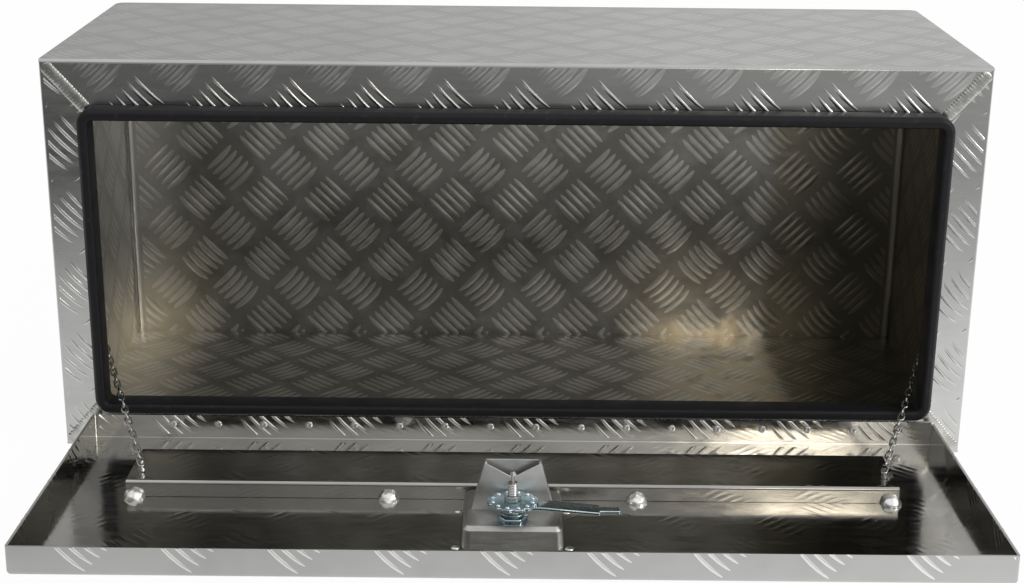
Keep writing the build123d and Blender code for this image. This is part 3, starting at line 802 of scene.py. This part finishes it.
@dataclass
class Tread:
    """The raised bars: five to a group, groups that lean left and right by turns."""

    shop: Workshop
    half_length: float = 18.5 * MM
    sunk: float = 0.02 * MM
    bow: float = math.radians(20.0)
    smooth: float = math.radians(60.0)
    sides: int = 14
    count: int = 5
    spacing: float = 9.0 * MM

    def group(self, lean: int, bars: Bars) -> Piece:
        """Model one group of bars about the origin.

        Args:
            lean: -1 for bars that fall to the right, 1 for bars that rise.
            bars: The kind of bar.

        Returns:
            The group.
        """
        nothing_selected()
        bpy.ops.mesh.primitive_cone_add(
            vertices=self.sides,
            radius1=1.0,
            radius2=bars.crown_share,
            depth=1.0,
            location=(0, -(self.count - 1) / 2 * self.spacing, bars.height / 2 - self.sunk),
            scale=(self.half_length, bars.half_width, bars.height),
        )
        piece = settle(bpy.context.object)
        applied(piece, "SIMPLE_DEFORM", {"deform_method": "BEND", "deform_axis": "Z", "angle": self.bow})
        repeated(piece, self.count, (0, self.spacing, 0))
        return settle(piece, Matrix.Rotation(lean * math.radians(45), 4, "Z"))

    def field(self, corners: Outline, start: Spot, lean: int, bars: Bars) -> Piece:
        """Cover one convex outline with groups of one lean.

        Args:
            corners: The outline, anticlockwise.
            start: Where one of the groups stands.
            lean: Which way the bars lean.
            bars: The kind of bar.

        Returns:
            The covered field.
        """
        step = bars.pitch
        reach = self.half_length + (self.count - 1) / 2 * self.spacing
        first, count = [], []
        for axis in (0, 1):
            low = min(corner[axis] for corner in corners) - reach - start[axis]
            high = max(corner[axis] for corner in corners) + reach - start[axis]
            first.append(start[axis] + math.ceil(low / step) * step)
            count.append(max(1, math.floor(high / step) - math.ceil(low / step) + 1))
        piece = settle(self.group(lean, bars), Matrix.Translation((*first, 0)))
        repeated(piece, count[0], (step, 0, 0))
        repeated(piece, count[1], (0, step, 0))
        trim(piece, corners)
        return piece

    def cover(self, faces: dict[str, Face], base: Matrix = Matrix.Identity(4)) -> None:
        """Cover faces with bars, one piece to a face.

        Args:
            faces: The faces, each with its piece's name but for the ending.
            base: The frame that the faces are given in.
        """
        for name, face in faces.items():
            fields = []
            for corners in face.outlines:
                for lean in face.leans:
                    shift = 0.0 if lean < 0 else face.bars.pitch / 2
                    start = (face.start[0] + shift, face.start[1] + shift)
                    fields.append(self.field(corners, start, lean, face.bars))
            frame = base @ face_frame(face.origin, face.right, face.up)
            piece = settle(joined(f"{name}_tread_bars", fields), frame)
            smoothed(piece, self.smooth)
            self.shop.hang(piece, face.bars.finish, face.bars.body, "tread_plate")


@dataclass
class Shell:
    """The folded box: its treads and mitre welds."""

    shop: Workshop
    tread: Tread
    half_width: float = BOX_HALF_WIDTH
    half_depth: float = BOX_HALF_DEPTH
    height: float = BOX_HEIGHT
    sheet: float = SHEET
    edge: float = 1.0 * MM
    front_bend: float = 4.0 * MM
    back_bend: float = 10.0 * MM
    stile: float = 42.25 * MM
    top_rail: float = 47.75 * MM
    bottom_rail: float = 49.25 * MM
    weld_margin: float = 6.0 * MM
    bead_radius: float = 6.5 * MM
    bead_share: float = 0.75
    bead_rise: float = 1.2 * MM
    bead_step: float = 3.1 * MM
    bead_start: float = 5.0 * MM
    bead_roughness: Spot = (0.7 * MM, 3.0 * MM)

    def build(self) -> None:
        """Make the shell's pieces."""
        self.outer_treads()
        self.front_treads()
        self.inner_treads()
        self.welds()

    def outer_treads(self) -> None:
        """Bars on the top, bottom, back and sides."""
        w, d, h = self.half_width, self.half_depth, self.height
        b, f, e = self.back_bend, self.front_bend, self.edge
        top = [rectangle(e - w, w - e, f - d, d - b)]
        bottom = [rectangle(e - w, w - e, b - d, d - f)]
        back = [rectangle(b - w, w - b, f, h - f)]
        right = [rectangle(f - d, d - b, f, h - f)]
        left = [rectangle(b - d, d - f, f, h - f)]
        faces = {
            "top": Face((0, 0, h), RIGHT, BACK, top, TOP_BARS, (0.01, 0)),
            "bottom": Face((0, 0, 0), RIGHT, FRONT, bottom, BOX_BARS),
            "back": Face((0, d, 0), LEFT, UP, back, BOX_BARS, (0, 0.02)),
            "right": Face((w, 0, 0), BACK, UP, right, BOX_BARS, (0, 0.03)),
            "left": Face((-w, 0, 0), FRONT, UP, left, BOX_BARS, (0, 0.03)),
        }
        self.tread.cover(faces)

    def front_treads(self) -> None:
        """Bars on the rails and stiles round the opening, clear of the welds."""
        w, h, f, m = self.half_width, self.height, self.front_bend, self.weld_margin
        ox, top, low = w - self.stile, h - self.top_rail, self.bottom_rail
        front = ((0, -self.half_depth, 0), RIGHT, UP)
        upper = [(m - ox, top), (ox - m, top), (w - f - m, h - f), (f + m - w, h - f)]
        lower = [(f + m - w, f), (w - f - m, f), (ox - m, low), (m - ox, low)]
        right = [(ox, low + m), (w - f, f + m), (w - f, h - f - m), (ox, top - m)]
        left = [(-x, y) for x, y in reversed(right)]
        start = (-0.3665, 0.3565)
        faces = {
            "top_rail": Face(*front, [upper], BOX_BARS, start, (-1,)),
            "top_rail_soft": Face(*front, [upper], RAIL_BARS, start, (1,)),
            "bottom_rail": Face(*front, [lower], BOX_BARS, (-0.3665, 0.032)),
            "left_stile": Face(*front, [left], BOX_BARS, (-0.44, 0.02)),
            "right_stile": Face(*front, [right], BOX_BARS, (0.44, 0.02)),
        }
        self.tread.cover(faces)

    def inner_treads(self) -> None:
        """The same pattern as it shows inside the box."""
        t, b = self.sheet, self.back_bend
        w, d, h = self.half_width - t, self.half_depth - t, self.height - t
        back = [rectangle(b - w, w - b, t, h)]
        floor, roof = [rectangle(-w, w, -d, d - b)], [rectangle(-w, w, b - d, d)]
        left, right = [rectangle(-d, d - b, t, h)], [rectangle(b - d, d, t, h)]
        faces = {
            "inner_back": Face((0, d, 0), RIGHT, UP, back, INNER_BARS, (0, 0.02)),
            "floor": Face((0, 0, t), RIGHT, BACK, floor, INNER_BARS),
            "roof": Face((0, 0, h), RIGHT, FRONT, roof, INNER_BARS),
            "inner_left": Face((-w, 0, 0), BACK, UP, left, INNER_BARS),
            "inner_right": Face((w, 0, 0), FRONT, UP, right, INNER_BARS),
        }
        self.tread.cover(faces)

    def welds(self) -> None:
        """Rippled beads along the mitred corners of the front."""
        beads = []
        ox = self.half_width - self.stile
        levels = ((0.0, self.bottom_rail), (self.height, self.height - self.top_rail))
        size = (self.bead_share * self.bead_radius, self.bead_radius, self.bead_rise)
        first = Matrix.Translation((self.bead_start + self.bead_radius, 0, 0))
        for side in (-1, 1):
            for outer_z, inner_z in levels:
                outer = Vector((side * self.half_width, -self.half_depth, outer_z))
                run = Vector((side * ox, -self.half_depth, inner_z)) - outer
                along = run.normalized()
                count = int((run.length - 2 * self.bead_start) / self.bead_step)
                bead = settle(half_ball(size, 14, 8), first)
                repeated(bead, count, (self.bead_step, 0, 0))
                beads.append(settle(bead, face_frame(outer, along, along.cross(Vector(BACK)))))
        piece = joined("mitre_weld_beads", beads)
        roughened(piece, *self.bead_roughness)
        self.shop.hang(piece, "weld", "box", "weld_metal", ("mitre_welds",))


@dataclass
class Door:
    """The door's treads and the weld lumps that hold its stiffener."""

    shop: Workshop
    tread: Tread
    half_width: float = DOOR_HALF_WIDTH
    reach: float = DOOR_REACH
    setback: float = DOOR_SETBACK
    skin_outer: float = DOOR_SKIN
    sheet: float = SHEET
    bend: float = 4.2 * MM
    rim: float = -0.3 * MM
    dish_middle: float = DISH_MIDDLE
    dish_half: float = 46.5 * MM
    bezel_half: float = 57.0 * MM
    stiffener_half: float = 361.0 * MM
    stiffener_near: float = -159.0 * MM
    stiffener_far: float = -76.0 * MM
    stiffener_top: float = -8.1 * MM
    tack_radius: float = 9.6 * MM
    tack_rise: float = 8.2 * MM
    tack_offset: float = 1.5 * MM
    tack_turn: float = 1.7
    tack_roughness: Spot = (3.2 * MM, 5.0 * MM)
    tack_places: tuple[float, ...] = (-353.5 * MM, -116.0 * MM, 116.0 * MM, 353.5 * MM)

    def build(self) -> None:
        """Make the door's pieces."""
        self.outer_treads()
        self.inner_treads()
        self.tacks()

    def outer_treads(self) -> None:
        """Bars on the door's outer skin and flanges."""
        w, far, near, low, e = self.half_width, self.reach, self.setback, self.skin_outer, self.bend
        half, middle = self.bezel_half, -self.dish_middle
        hole = (-half, half, middle - half, middle + half)
        skin = round_hole((e - w, w - e, near + e, far - e), hole)
        front = [rectangle(e - w, w - e, low + e, self.rim)]
        right = [rectangle(e - far, -near - e, low + e, self.rim)]
        left = [rectangle(near + e, far - e, low + e, self.rim)]
        faces = {
            "door_skin": Face((0, 0, low), RIGHT, FRONT, skin, DOOR_BARS),
            "front_flange": Face((0, -far, 0), RIGHT, UP, front, DOOR_BARS, (-0.363, 0.004), (-1,)),
            "right_flange": Face((w, 0, 0), BACK, UP, right, DOOR_BARS),
            "left_flange": Face((-w, 0, 0), FRONT, UP, left, DOOR_BARS),
        }
        self.tread.cover(faces, door_matrix())

    def inner_treads(self) -> None:
        """The pattern as it shows inside the tray, faint on the skin and the stiffener."""
        t, e = self.sheet, self.bend
        w, far, near, low = self.half_width - t, self.reach - t, self.setback + t, self.skin_outer + t
        flange = [rectangle(e - w, w - e, low + e, self.rim)]
        right = [rectangle(near + e, far - e, low + e, self.rim)]
        left = [rectangle(e - far, -near - e, low + e, self.rim)]
        middle, half = self.dish_middle, self.dish_half
        hole = (-half, half, middle - half, middle + half)
        skin = round_hole((e - w, w - e, e - far, -near - e), hole)
        half, top = self.stiffener_half, self.stiffener_top
        strip = [rectangle(e - half, half - e, self.stiffener_near + e, self.stiffener_far - e)]
        faces = {
            "hinge_flange": Face((0, -near, 0), RIGHT, UP, flange, DOOR_BARS, (-0.34, -0.006)),
            "inner_front_flange": Face((0, -far, 0), LEFT, UP, flange, DOOR_BARS, (0.363, 0.004)),
            "inner_right_flange": Face((w, 0, 0), FRONT, UP, right, DOOR_BARS),
            "inner_left_flange": Face((-w, 0, 0), BACK, UP, left, DOOR_BARS),
            "inner_skin": Face((0, 0, low), RIGHT, BACK, skin, FAINT_BARS, (0.02, 0.01)),
            "stiffener": Face((0, 0, top), RIGHT, BACK, strip, FAINT_BARS, (0, 0.02)),
        }
        self.tread.cover(faces, door_matrix())

    def tacks(self) -> None:
        """Weld lumps where the stiffener's lips stand on the skin."""
        places = []
        for lip, side in ((self.stiffener_near, -1), (self.stiffener_far, 1)):
            for number, x in enumerate(self.tack_places):
                spot = (x, lip + side * self.tack_offset, self.skin_outer + self.sheet)
                turn = Matrix.Rotation(self.tack_turn * number + side, 4, "Z")
                places.append(door_matrix() @ Matrix.Translation(spot) @ turn)
        lump = half_ball((self.tack_radius, self.tack_radius, self.tack_rise), 28, 18)
        piece = copied("stiffener_weld_lumps", lump, places)
        roughened(piece, *self.tack_roughness)
        self.shop.hang(piece, "lump", "door", "weld_metal", ("stiffener_welds",))


@dataclass
class Rivets:
    """Domed rivet heads in rows."""

    shop: Workshop
    head_radius: float = 4.0 * MM
    head_height: float = 1.5 * MM
    tail_radius: float = 3.0 * MM
    tail_height: float = 1.5 * MM
    mandrel_share: float = 0.32
    mandrel_depth: float = 0.5
    row_half: float = 392.0 * MM
    row_count: int = 18
    inset: float = 9.1 * MM
    box_leaf_face: float = -176.0 * MM
    hinge_grip: float = 3.5 * MM
    dish_grip: float = 4.0 * MM
    dish_x: float = 50.0 * MM
    dish_y: float = 40.0 * MM

    def build(self) -> None:
        """Make the three sets of rivets."""
        door = door_matrix()
        row = [self.row_half * (2 * n / (self.row_count - 1) - 1) for n in range(self.row_count)]
        face = door @ face_frame((0, -DOOR_SETBACK - SHEET, 0), RIGHT, UP)
        spots = [(x, -self.inset) for x in row]
        self.row("door_hinge_rivet_domes", spots, face, self.hinge_grip, "door", "hinge_rivets_door")
        face = face_frame((0, self.box_leaf_face, HINGE.z), RIGHT, UP)
        spots = [(x, -self.inset) for x in row[::2]]
        self.row("box_hinge_rivet_domes", spots, face, self.hinge_grip, "box", "hinge_rivets_box")
        face = door @ face_frame((0, 0, DOOR_SKIN + SHEET), RIGHT, BACK)
        levels = (DISH_MIDDLE - self.dish_y, DISH_MIDDLE + self.dish_y)
        spots = [(x, y) for x in (-self.dish_x, self.dish_x) for y in levels]
        self.row("dish_rivet_domes", spots, face, self.dish_grip, "door", "latch_dish_rivets")

    def row(self, name: str, spots: list[Spot], face: Matrix, grip: float, body: str, node: str) -> None:
        """Set one row of rivets.

        Args:
            name: The piece's name.
            spots: The rivets' places on the face.
            face: The face's frame.
            grip: How thick the riveted sheets are.
            body: The CAD body.
            node: The CAD node that the row replaces.
        """
        head = self.dome(self.head_radius, self.head_height, True)
        tail = self.dome(self.tail_radius, self.tail_height, False)
        settle(tail, Matrix.Translation((0, 0, -grip)) @ Matrix.Rotation(math.pi, 4, "X"))
        rivet = joined(name, [head, tail])
        piece = copied(name, rivet, [face @ Matrix.Translation((*spot, 0)) for spot in spots])
        self.shop.hang(piece, "rivet", body, "rivet_aluminium", (node,))

    def dome(self, radius: float, height: float, dimpled: bool) -> Piece:
        """Model one dome on the XY plane, a head's with the mandrel sunk in its middle.

        Args:
            radius: The dome's radius.
            height: The dome's height.
            dimpled: Whether the middle is sunk.

        Returns:
            The dome.
        """
        piece = half_ball((radius, radius, height), 16, 12)
        if dimpled:
            middle = self.mandrel_share * radius
            moved(piece, lambda p: math.hypot(p.x, p.y) < middle, (0, 0, -self.mandrel_depth * height))
        return smoothed(piece)


@dataclass
class Chains:
    """Round-wire chains from the door's studs to the wall eyes."""

    shop: Workshop
    wire: float = 2.0 * MM
    link_width: float = 7.5 * MM
    slack: float = 0.4 * MM
    first_end: float = 3.8 * MM
    turn_share: float = 0.1
    lower_links: int = 10
    upper_links: int = 12
    stud: Point = (352.0 * MM, -130.0 * MM, -3.6 * MM)
    eye: Point = (440.0 * MM, -75.0 * MM, 92.0 * MM)

    def pair(self, length: float, pitch: float) -> Piece:
        """Model a flat link and the upright link that follows it, along X.

        Args:
            length: A link's outside length.
            pitch: From one link's middle to the next.

        Returns:
            The two links.
        """
        radius = (self.link_width - self.wire) / 2
        straight = (length - self.link_width) / 2
        links = []
        for number in (0, 1):
            nothing_selected()
            bpy.ops.mesh.primitive_torus_add(
                major_segments=16, minor_segments=8, major_radius=radius, minor_radius=self.wire / 2
            )
            link = bpy.context.object
            moved(link, lambda p: p.x > self.turn_share * radius, (straight, 0, 0))
            moved(link, lambda p: p.x < -self.turn_share * radius, (-straight, 0, 0))
            turn = Matrix.Rotation(number * math.pi / 2, 4, "X")
            links.append(settle(link, Matrix.Translation((number * pitch, 0, 0)) @ turn))
        return smoothed(joined("links", links))

    def build(self) -> None:
        """Make both runs of both chains."""
        count = self.lower_links + self.upper_links
        for side, label in ((-1, "left"), (1, "right")):
            start = door_matrix() @ Vector((side * self.stud[0], *self.stud[1:]))
            reach = Vector((side * self.eye[0], *self.eye[1:])) - start
            along = reach.normalized()
            across = along.cross(Vector(UP)).normalized()
            pitch = (reach.length + self.first_end + self.wire / 2 - self.slack - 2 * self.wire) / count
            length = pitch + self.slack + 2 * self.wire
            runs = (("lower", 0, self.lower_links), ("upper", self.lower_links, self.upper_links))
            for run, first, links in runs:
                name = f"chain_{label}_{run}"
                piece = self.pair(length, pitch)
                repeated(piece, links // 2, (2 * pitch, 0, 0))
                middle = start + along * (length / 2 - self.first_end + first * pitch)
                settle(piece, face_frame(middle, along, across))
                piece.name = name + "_links"
                self.shop.hang(piece, "chain", name, "chain_steel", (name,))


# The latch


@dataclass
class Latch:
    """Small turned details on the latch's open side."""

    shop: Workshop
    middle: float = -256.0 * MM
    disc_top: float = 17.0 * MM
    bead_circle: float = 18.0 * MM
    bead_radius: float = 2.3 * MM
    bead_rise: float = 1.5 * MM
    beads: int = 12
    thread_radius: float = 4.45 * MM
    thread_root: float = 3.9 * MM
    thread_pitch: float = 1.5 * MM
    thread_low: float = 22.2 * MM
    thread_turns: int = 7
    thread_smooth: float = math.radians(50)

    def build(self) -> None:
        """Make the beads and the thread."""
        axis = door_matrix() @ Matrix.Translation((0, self.middle, 0))
        bead = half_ball((self.bead_radius, self.bead_radius, self.bead_rise), 16, 12)
        turn = 2 * math.pi / self.beads
        out = Matrix.Translation((self.bead_circle, 0, self.disc_top))
        turns = [Matrix.Rotation(turn * (n + 0.5), 4, "Z") for n in range(self.beads)]
        beads = smoothed(copied("cam_disc_beads", bead, [axis @ rotation @ out for rotation in turns]))
        self.shop.hang(beads, "zinc_bright", "latch", "zinc_plate")
        nothing_selected()
        bpy.ops.mesh.primitive_cone_add(
            vertices=28,
            radius1=self.thread_root,
            radius2=self.thread_radius,
            depth=self.thread_pitch / 2,
            end_fill_type="NOTHING",
            location=(0, 0, self.thread_low - self.thread_pitch / 4),
        )
        thread = settle(bpy.context.object)
        mirror = Matrix.Translation((0, 0, 2 * self.thread_low)) @ Matrix.Diagonal((1, 1, -1, 1))
        thread = copied("spindle_thread", thread, [Matrix.Identity(4), mirror])
        repeated(thread, self.thread_turns, (0, 0, self.thread_pitch))
        mended(thread)
        smoothed(thread, self.thread_smooth)
        settle(thread, axis @ Matrix.Translation((0, 0, self.thread_pitch / 2)))
        self.shop.hang(thread, "steel", "latch", "zinc_plate")


@dataclass
class Edges:
    """CAD pieces shown through copies whose sharp edges are broken, so that they catch light."""

    shop: Workshop
    nodes: dict[str, Piece]
    flat: float = math.radians(1.0)
    sharp: float = math.radians(31.0)

    def ease(
        self, node: str, width: float, finish: str, body: str, slot: str, segments: int = 2, edge_highlight: str = ""
    ) -> None:
        """Copy a CAD piece, round its sharp edges and show the copy.

        Args:
            node: The CAD node.
            width: The rounding's width.
            finish: The finish's name.
            body: The CAD body.
            slot: The record's material slot.
            segments: How many steps the rounding has.
            edge_highlight: The brighter, glossier finish of the rounded edges, a painted highlight, where it
                differs.
        """
        piece = linked(node + "_eased", self.nodes[node].data.copy())
        with editing(piece):
            bpy.ops.mesh.remove_doubles(threshold=MERGE)
            bpy.ops.mesh.dissolve_limited(angle_limit=self.flat)
        piece.data.materials.clear()
        piece.data.materials.append(self.shop.finishes[finish])
        rounding = {"width": width, "segments": segments, "limit_method": "ANGLE", "angle_limit": self.sharp}
        # Painted highlight: the rounded edges get a brighter, glossier finish of their own.
        if edge_highlight:
            piece.data.materials.append(self.shop.finishes[edge_highlight])
            rounding["material"] = 1
        applied(piece, "BEVEL", rounding)
        smoothed(piece, self.sharp)
        self.shop.hang(piece, finish, body, slot, (node,))

    def build(self) -> None:
        """Ease the edges that are in view."""
        self.ease("latch_dish", 0.8 * MM, "satin", "door", "satin_steel", 3)
        self.ease("latch_guard", 0.5 * MM, "guard", "door", "satin_steel")
        self.ease("barrel_nut", 1.0 * MM, "zinc", "door", "zinc_plate", edge_highlight="zinc_bright")
        self.ease("latch_washer", 0.35 * MM, "zinc_bright", "latch", "zinc_plate")
        self.ease("latch_tongue", 0.7 * MM, "zinc_dark", "latch", "zinc_plate", edge_highlight="zinc_bright")
        self.ease("latch_cam_disc", 0.6 * MM, "zinc", "latch", "zinc_plate", edge_highlight="zinc_bright")
        self.ease("spindle_nut", 0.6 * MM, "steel", "latch", "zinc_plate")
        self.ease("folding_handle", 0.5 * MM, "chrome", "handle", "handle_chrome")
        self.ease("door_seal", 1.3 * MM, "rubber", "box", "black_rubber", 3)


# Studio


@dataclass
class Studio:
    """Camera, floor, lamps and surroundings."""

    eye: Point = (-0.0042, -1.8167, 0.7110)
    pitch_down: float = 18.22
    yaw: float = -0.011
    roll: float = 0.55
    focal: float = 60.949
    shift: float = 0.0023
    sensor: float = 36.0
    sight: float = 50.0
    lamp_aim: Point = (0, -0.1, 0.2)
    key_way: Point = (0.77, -0.40, 0.50)
    key_distance: float = 3.0
    key_size: float = 1.3
    key_radiance: float = 5.0
    key_colour: Point = (1.0, 1.0, 1.0)
    warm_way: Point = (0.63, -2.05, 0.80)
    warm_distance: float = 2.3
    warm_size: float = 0.28
    warm_radiance: float = 4.6
    warm_colour: Point = (1.0, 0.90, 0.74)
    floor_size: float = 14.0
    floor_level: float = -1.6 * MM
    floor_colour: Point = (0.82, 0.82, 0.82)
    floor_share: float = 0.97
    far_tone: Span = (-0.9, 0.9, 0.15, 0.38)
    band_tone: Span = (-0.25, 0.9, 0.07, 0.38)
    near_tone: Span = (-0.5, 0.6, 0.80, 1.05)
    band_edge: Spot = (-2.05, -1.92)
    near_edge: Spot = (-1.45, -0.22)
    front_tone: Span = (-0.6, 0.6, 0.16, 0.75)
    back_tone: Span = (-0.25, 0.2, 0.43, 0.575)
    back_from: Spot = (-0.35, 0.2)
    up_tone: float = 0.8
    up_from: Spot = (0.35, 0.8)
    other_tone: float = 0.75

    def camera(self) -> None:
        """Set the camera at the photograph's place."""
        down, yaw, roll = (math.radians(v) for v in (self.pitch_down, self.yaw, self.roll))
        ahead = Vector((math.sin(yaw) * math.cos(down), math.cos(yaw) * math.cos(down), -math.sin(down)))
        right = ahead.cross(Vector(UP)).normalized()
        up = right.cross(ahead)
        turned = right * math.cos(roll) + up * math.sin(roll)
        upright = up * math.cos(roll) - right * math.sin(roll)
        data = bpy.data.cameras.new("camera")
        data.sensor_width = self.sensor
        data.lens = self.focal
        data.shift_x = self.shift
        data.clip_end = self.sight
        camera = linked("camera", data)
        axes = Matrix((turned, upright, -ahead)).transposed().to_4x4()
        camera.matrix_world = Matrix.Translation(self.eye) @ axes
        bpy.context.scene.camera = camera

    def rays(self, s: Shader) -> tuple[Wire, Wire]:
        """Whether a ray is the camera's, and whether it is a mirror's or a glass's."""
        outputs = s.node("ShaderNodeLightPath", {}, {}).socket.node.outputs
        names = ("Is Camera Ray", "Is Glossy Ray", "Is Transmission Ray")
        direct, glossy, through = (Wire(s, outputs[name]) for name in names)
        return direct, glossy.maths("MAXIMUM", through)

    def floor(self) -> None:
        """Lay a plain pale floor, which mirrors see fade with distance in front."""
        nothing_selected()
        bpy.ops.mesh.primitive_plane_add(size=self.floor_size, location=(0, 0, self.floor_level))
        plane = bpy.context.object
        plane.name = "floor"
        s = Shader("pale floor")
        x, y, _ = s.split(s.place())
        direct, mirrored = self.rays(s)
        tone = x.ramp(*self.far_tone).toward(x.ramp(*self.band_tone), y.ramp(*self.band_edge))
        tone = tone.toward(x.ramp(*self.near_tone), y.ramp(*self.near_edge))
        white = s.node("ShaderNodeEmission", {}, {"Strength": direct + mirrored * tone})
        soft = s.node("ShaderNodeBsdfDiffuse", {}, {"Color": opaque(self.floor_colour)})
        seen = direct.maths("MAXIMUM", mirrored) * self.floor_share
        mixed = s.node("ShaderNodeMixShader", {}, {0: seen, 1: soft, 2: white})
        plane.data.materials.append(s.close(mixed))

    def surroundings(self) -> None:
        """White to the camera, and to mirrors a soft room, darker in front on the left."""
        world = bpy.data.worlds.new("studio")
        bpy.context.scene.world = world
        s = Shader(world=world)
        way = s.node("ShaderNodeTexCoord", {}, {}, "Generated")
        x, y, z = s.split(way)
        direct, mirrored = self.rays(s)
        room = x.ramp(*self.front_tone).toward(x.ramp(*self.back_tone), y.ramp(*self.back_from))
        room = room.toward(self.up_tone, z.ramp(*self.up_from))
        other = 1 - direct.maths("MAXIMUM", mirrored)
        strength = direct + mirrored * room + other * self.other_tone
        back = s.node("ShaderNodeBackground", {}, {"Color": (1.0, 1.0, 1.0, 1.0), "Strength": strength})
        s.node("ShaderNodeOutputWorld", {}, {"Surface": back})

    def lamp(
        self, name: str, way: Point, distance: float, size: float, radiance: float, colour: Point
    ) -> None:
        """Hang a square softbox that faces the box.

        Args:
            name: The lamp's name.
            way: Direction from the box to the lamp.
            distance: How far off it hangs.
            size: Its side.
            radiance: How bright its face is.
            colour: The light's colour.
        """
        data = bpy.data.lights.new(name, "AREA")
        data.color = colour
        data.shape = "SQUARE"
        data.size = size
        data.energy = radiance * math.pi * size * size
        lamp = linked(name, data)
        toward = Vector(way).normalized()
        lamp.location = Vector(self.lamp_aim) + toward * distance
        lamp.rotation_mode = "QUATERNION"
        lamp.rotation_quaternion = toward.to_track_quat("Z", "Y")
        lamp.visible_camera = False

    def build(self) -> None:
        """Set up the studio."""
        bpy.context.scene.view_settings.view_transform = "Standard"
        self.camera()
        self.floor()
        self.surroundings()
        key = (self.key_way, self.key_distance, self.key_size, self.key_radiance)
        self.lamp("key softbox", *key, self.key_colour)
        warm = (self.warm_way, self.warm_distance, self.warm_size, self.warm_radiance)
        self.lamp("warm softbox", *warm, self.warm_colour)


FINISHES = {
    "box": PlateFinish("tread plate of the box with painted light and shade inside", Sheet.BOX),
    # Lighter copies of the plate's finish for the bars: painted highlight.
    "box_bars_painted_highlight": PlateFinish("raised bars of the box with painted highlight", Sheet.BOX, outer=(0.66, 0.66, 0.645), roughness=0.14),
    "top_bars_painted_highlight": PlateFinish("raised bars of the top with painted highlight", Sheet.BOX, outer=(0.76, 0.76, 0.75)),
    # Bars inside the box: lighter than the plate as a painted highlight, with their own painted light,
    # painted shade and painted warm light.
    "inner_bars_painted_highlight": PlateFinish(
        "raised bars inside the box with painted highlight",
        Sheet.BOX,
        inner=(0.62, 0.61, 0.57),
        darker_inner_shade=(0.48, 0.47, 0.43),
        lit=(0.98, 0.97, 0.94),
        shade=(0.38, 0.35, 0.28),
        painted_warm_light=(1.0, 0.95, 0.85),
        inner_roughness=0.32,
    ),
    "door": PlateFinish("tread plate of the door", Sheet.DOOR),
    "door_bars_painted_highlight": PlateFinish(
        "raised bars of the door with painted highlight", Sheet.DOOR, outer=(0.96, 0.96, 0.95), roughness=0.14
    ),
    "weld": MetalFinish("weld metal", (0.66, 0.66, 0.63), (0.48, 0.47, 0.44), 0.27, wave_depth=0.0004),
    "lump": MetalFinish("weld lumps", (0.95, 0.95, 0.93), (0.84, 0.83, 0.80), 0.30, wave_depth=0.0006),
    "rivet": MetalFinish("rivet aluminium", (0.96, 0.96, 0.94), (0.84, 0.84, 0.82), 0.28),
    "hinge": MetalFinish("hinge steel", (0.46, 0.46, 0.45), (0.38, 0.38, 0.37), 0.24),
    "satin": MetalFinish(
        "satin steel", (0.56, 0.555, 0.54), (0.48, 0.475, 0.46), 0.40, grain=(4.0, 60.0, 60.0)
    ),
    "guard": MetalFinish(
        "guard steel", (0.70, 0.70, 0.69), (0.62, 0.62, 0.61), 0.36, grain=(60.0, 60.0, 4.0)
    ),
    "zinc": MetalFinish("blue zinc", (0.30, 0.45, 0.51), (0.42, 0.57, 0.62), 0.30),
    "zinc_bright": MetalFinish("bright zinc", (0.70, 0.80, 0.84), (0.60, 0.70, 0.76), 0.14),
    "zinc_dark": MetalFinish("dark zinc", (0.24, 0.31, 0.33), (0.30, 0.38, 0.40), 0.24),
    "steel": MetalFinish("turned steel", (0.62, 0.62, 0.61), (0.52, 0.52, 0.51), 0.2),
    "chrome": MetalFinish("handle chrome", (0.70, 0.70, 0.70), (0.60, 0.60, 0.60), 0.12),
    "chain": MetalFinish("chain steel", (0.62, 0.62, 0.60), (0.48, 0.48, 0.46), 0.18),
    "rubber": RubberFinish(),
}

NODE_FINISHES = {
    "box": ("side_back_wrap", "top_panel", "bottom_panel"),
    "door": ("door_pan", "door_stiffener"),
    "hinge": ("hinge_leaf_box", "hinge_leaf_door", "hinge_pin"),
    "satin": ("latch_dish", "latch_guard"),
    "zinc": ("latch_barrel", "barrel_nut", "latch_washer", "latch_tongue", "latch_cam_disc"),
    "steel": ("latch_spindle", "spindle_nut", "spindle_screw"),
    "chrome": ("folding_handle", "handle_pin", "key_plug"),
    "chain": ("wall_eye_left", "wall_eye_right", "chain_stud_left", "chain_stud_right"),
    "rubber": ("door_seal",),
}


def main() -> None:
    """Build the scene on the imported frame."""
    logging.basicConfig(level=logging.INFO, format="%(message)s")
    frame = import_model()
    shop = Workshop({key: finish.make() for key, finish in FINISHES.items()})
    for finish, nodes in NODE_FINISHES.items():
        for node in nodes:
            shop.dress(frame["nodes"][node], finish)
    tread = Tread(shop)
    Shell(shop, tread).build()
    Door(shop, tread).build()
    Rivets(shop).build()
    Chains(shop).build()
    Latch(shop).build()
    Edges(shop, frame["nodes"]).build()
    Studio().build()


if __name__ == "__main__":
    main()
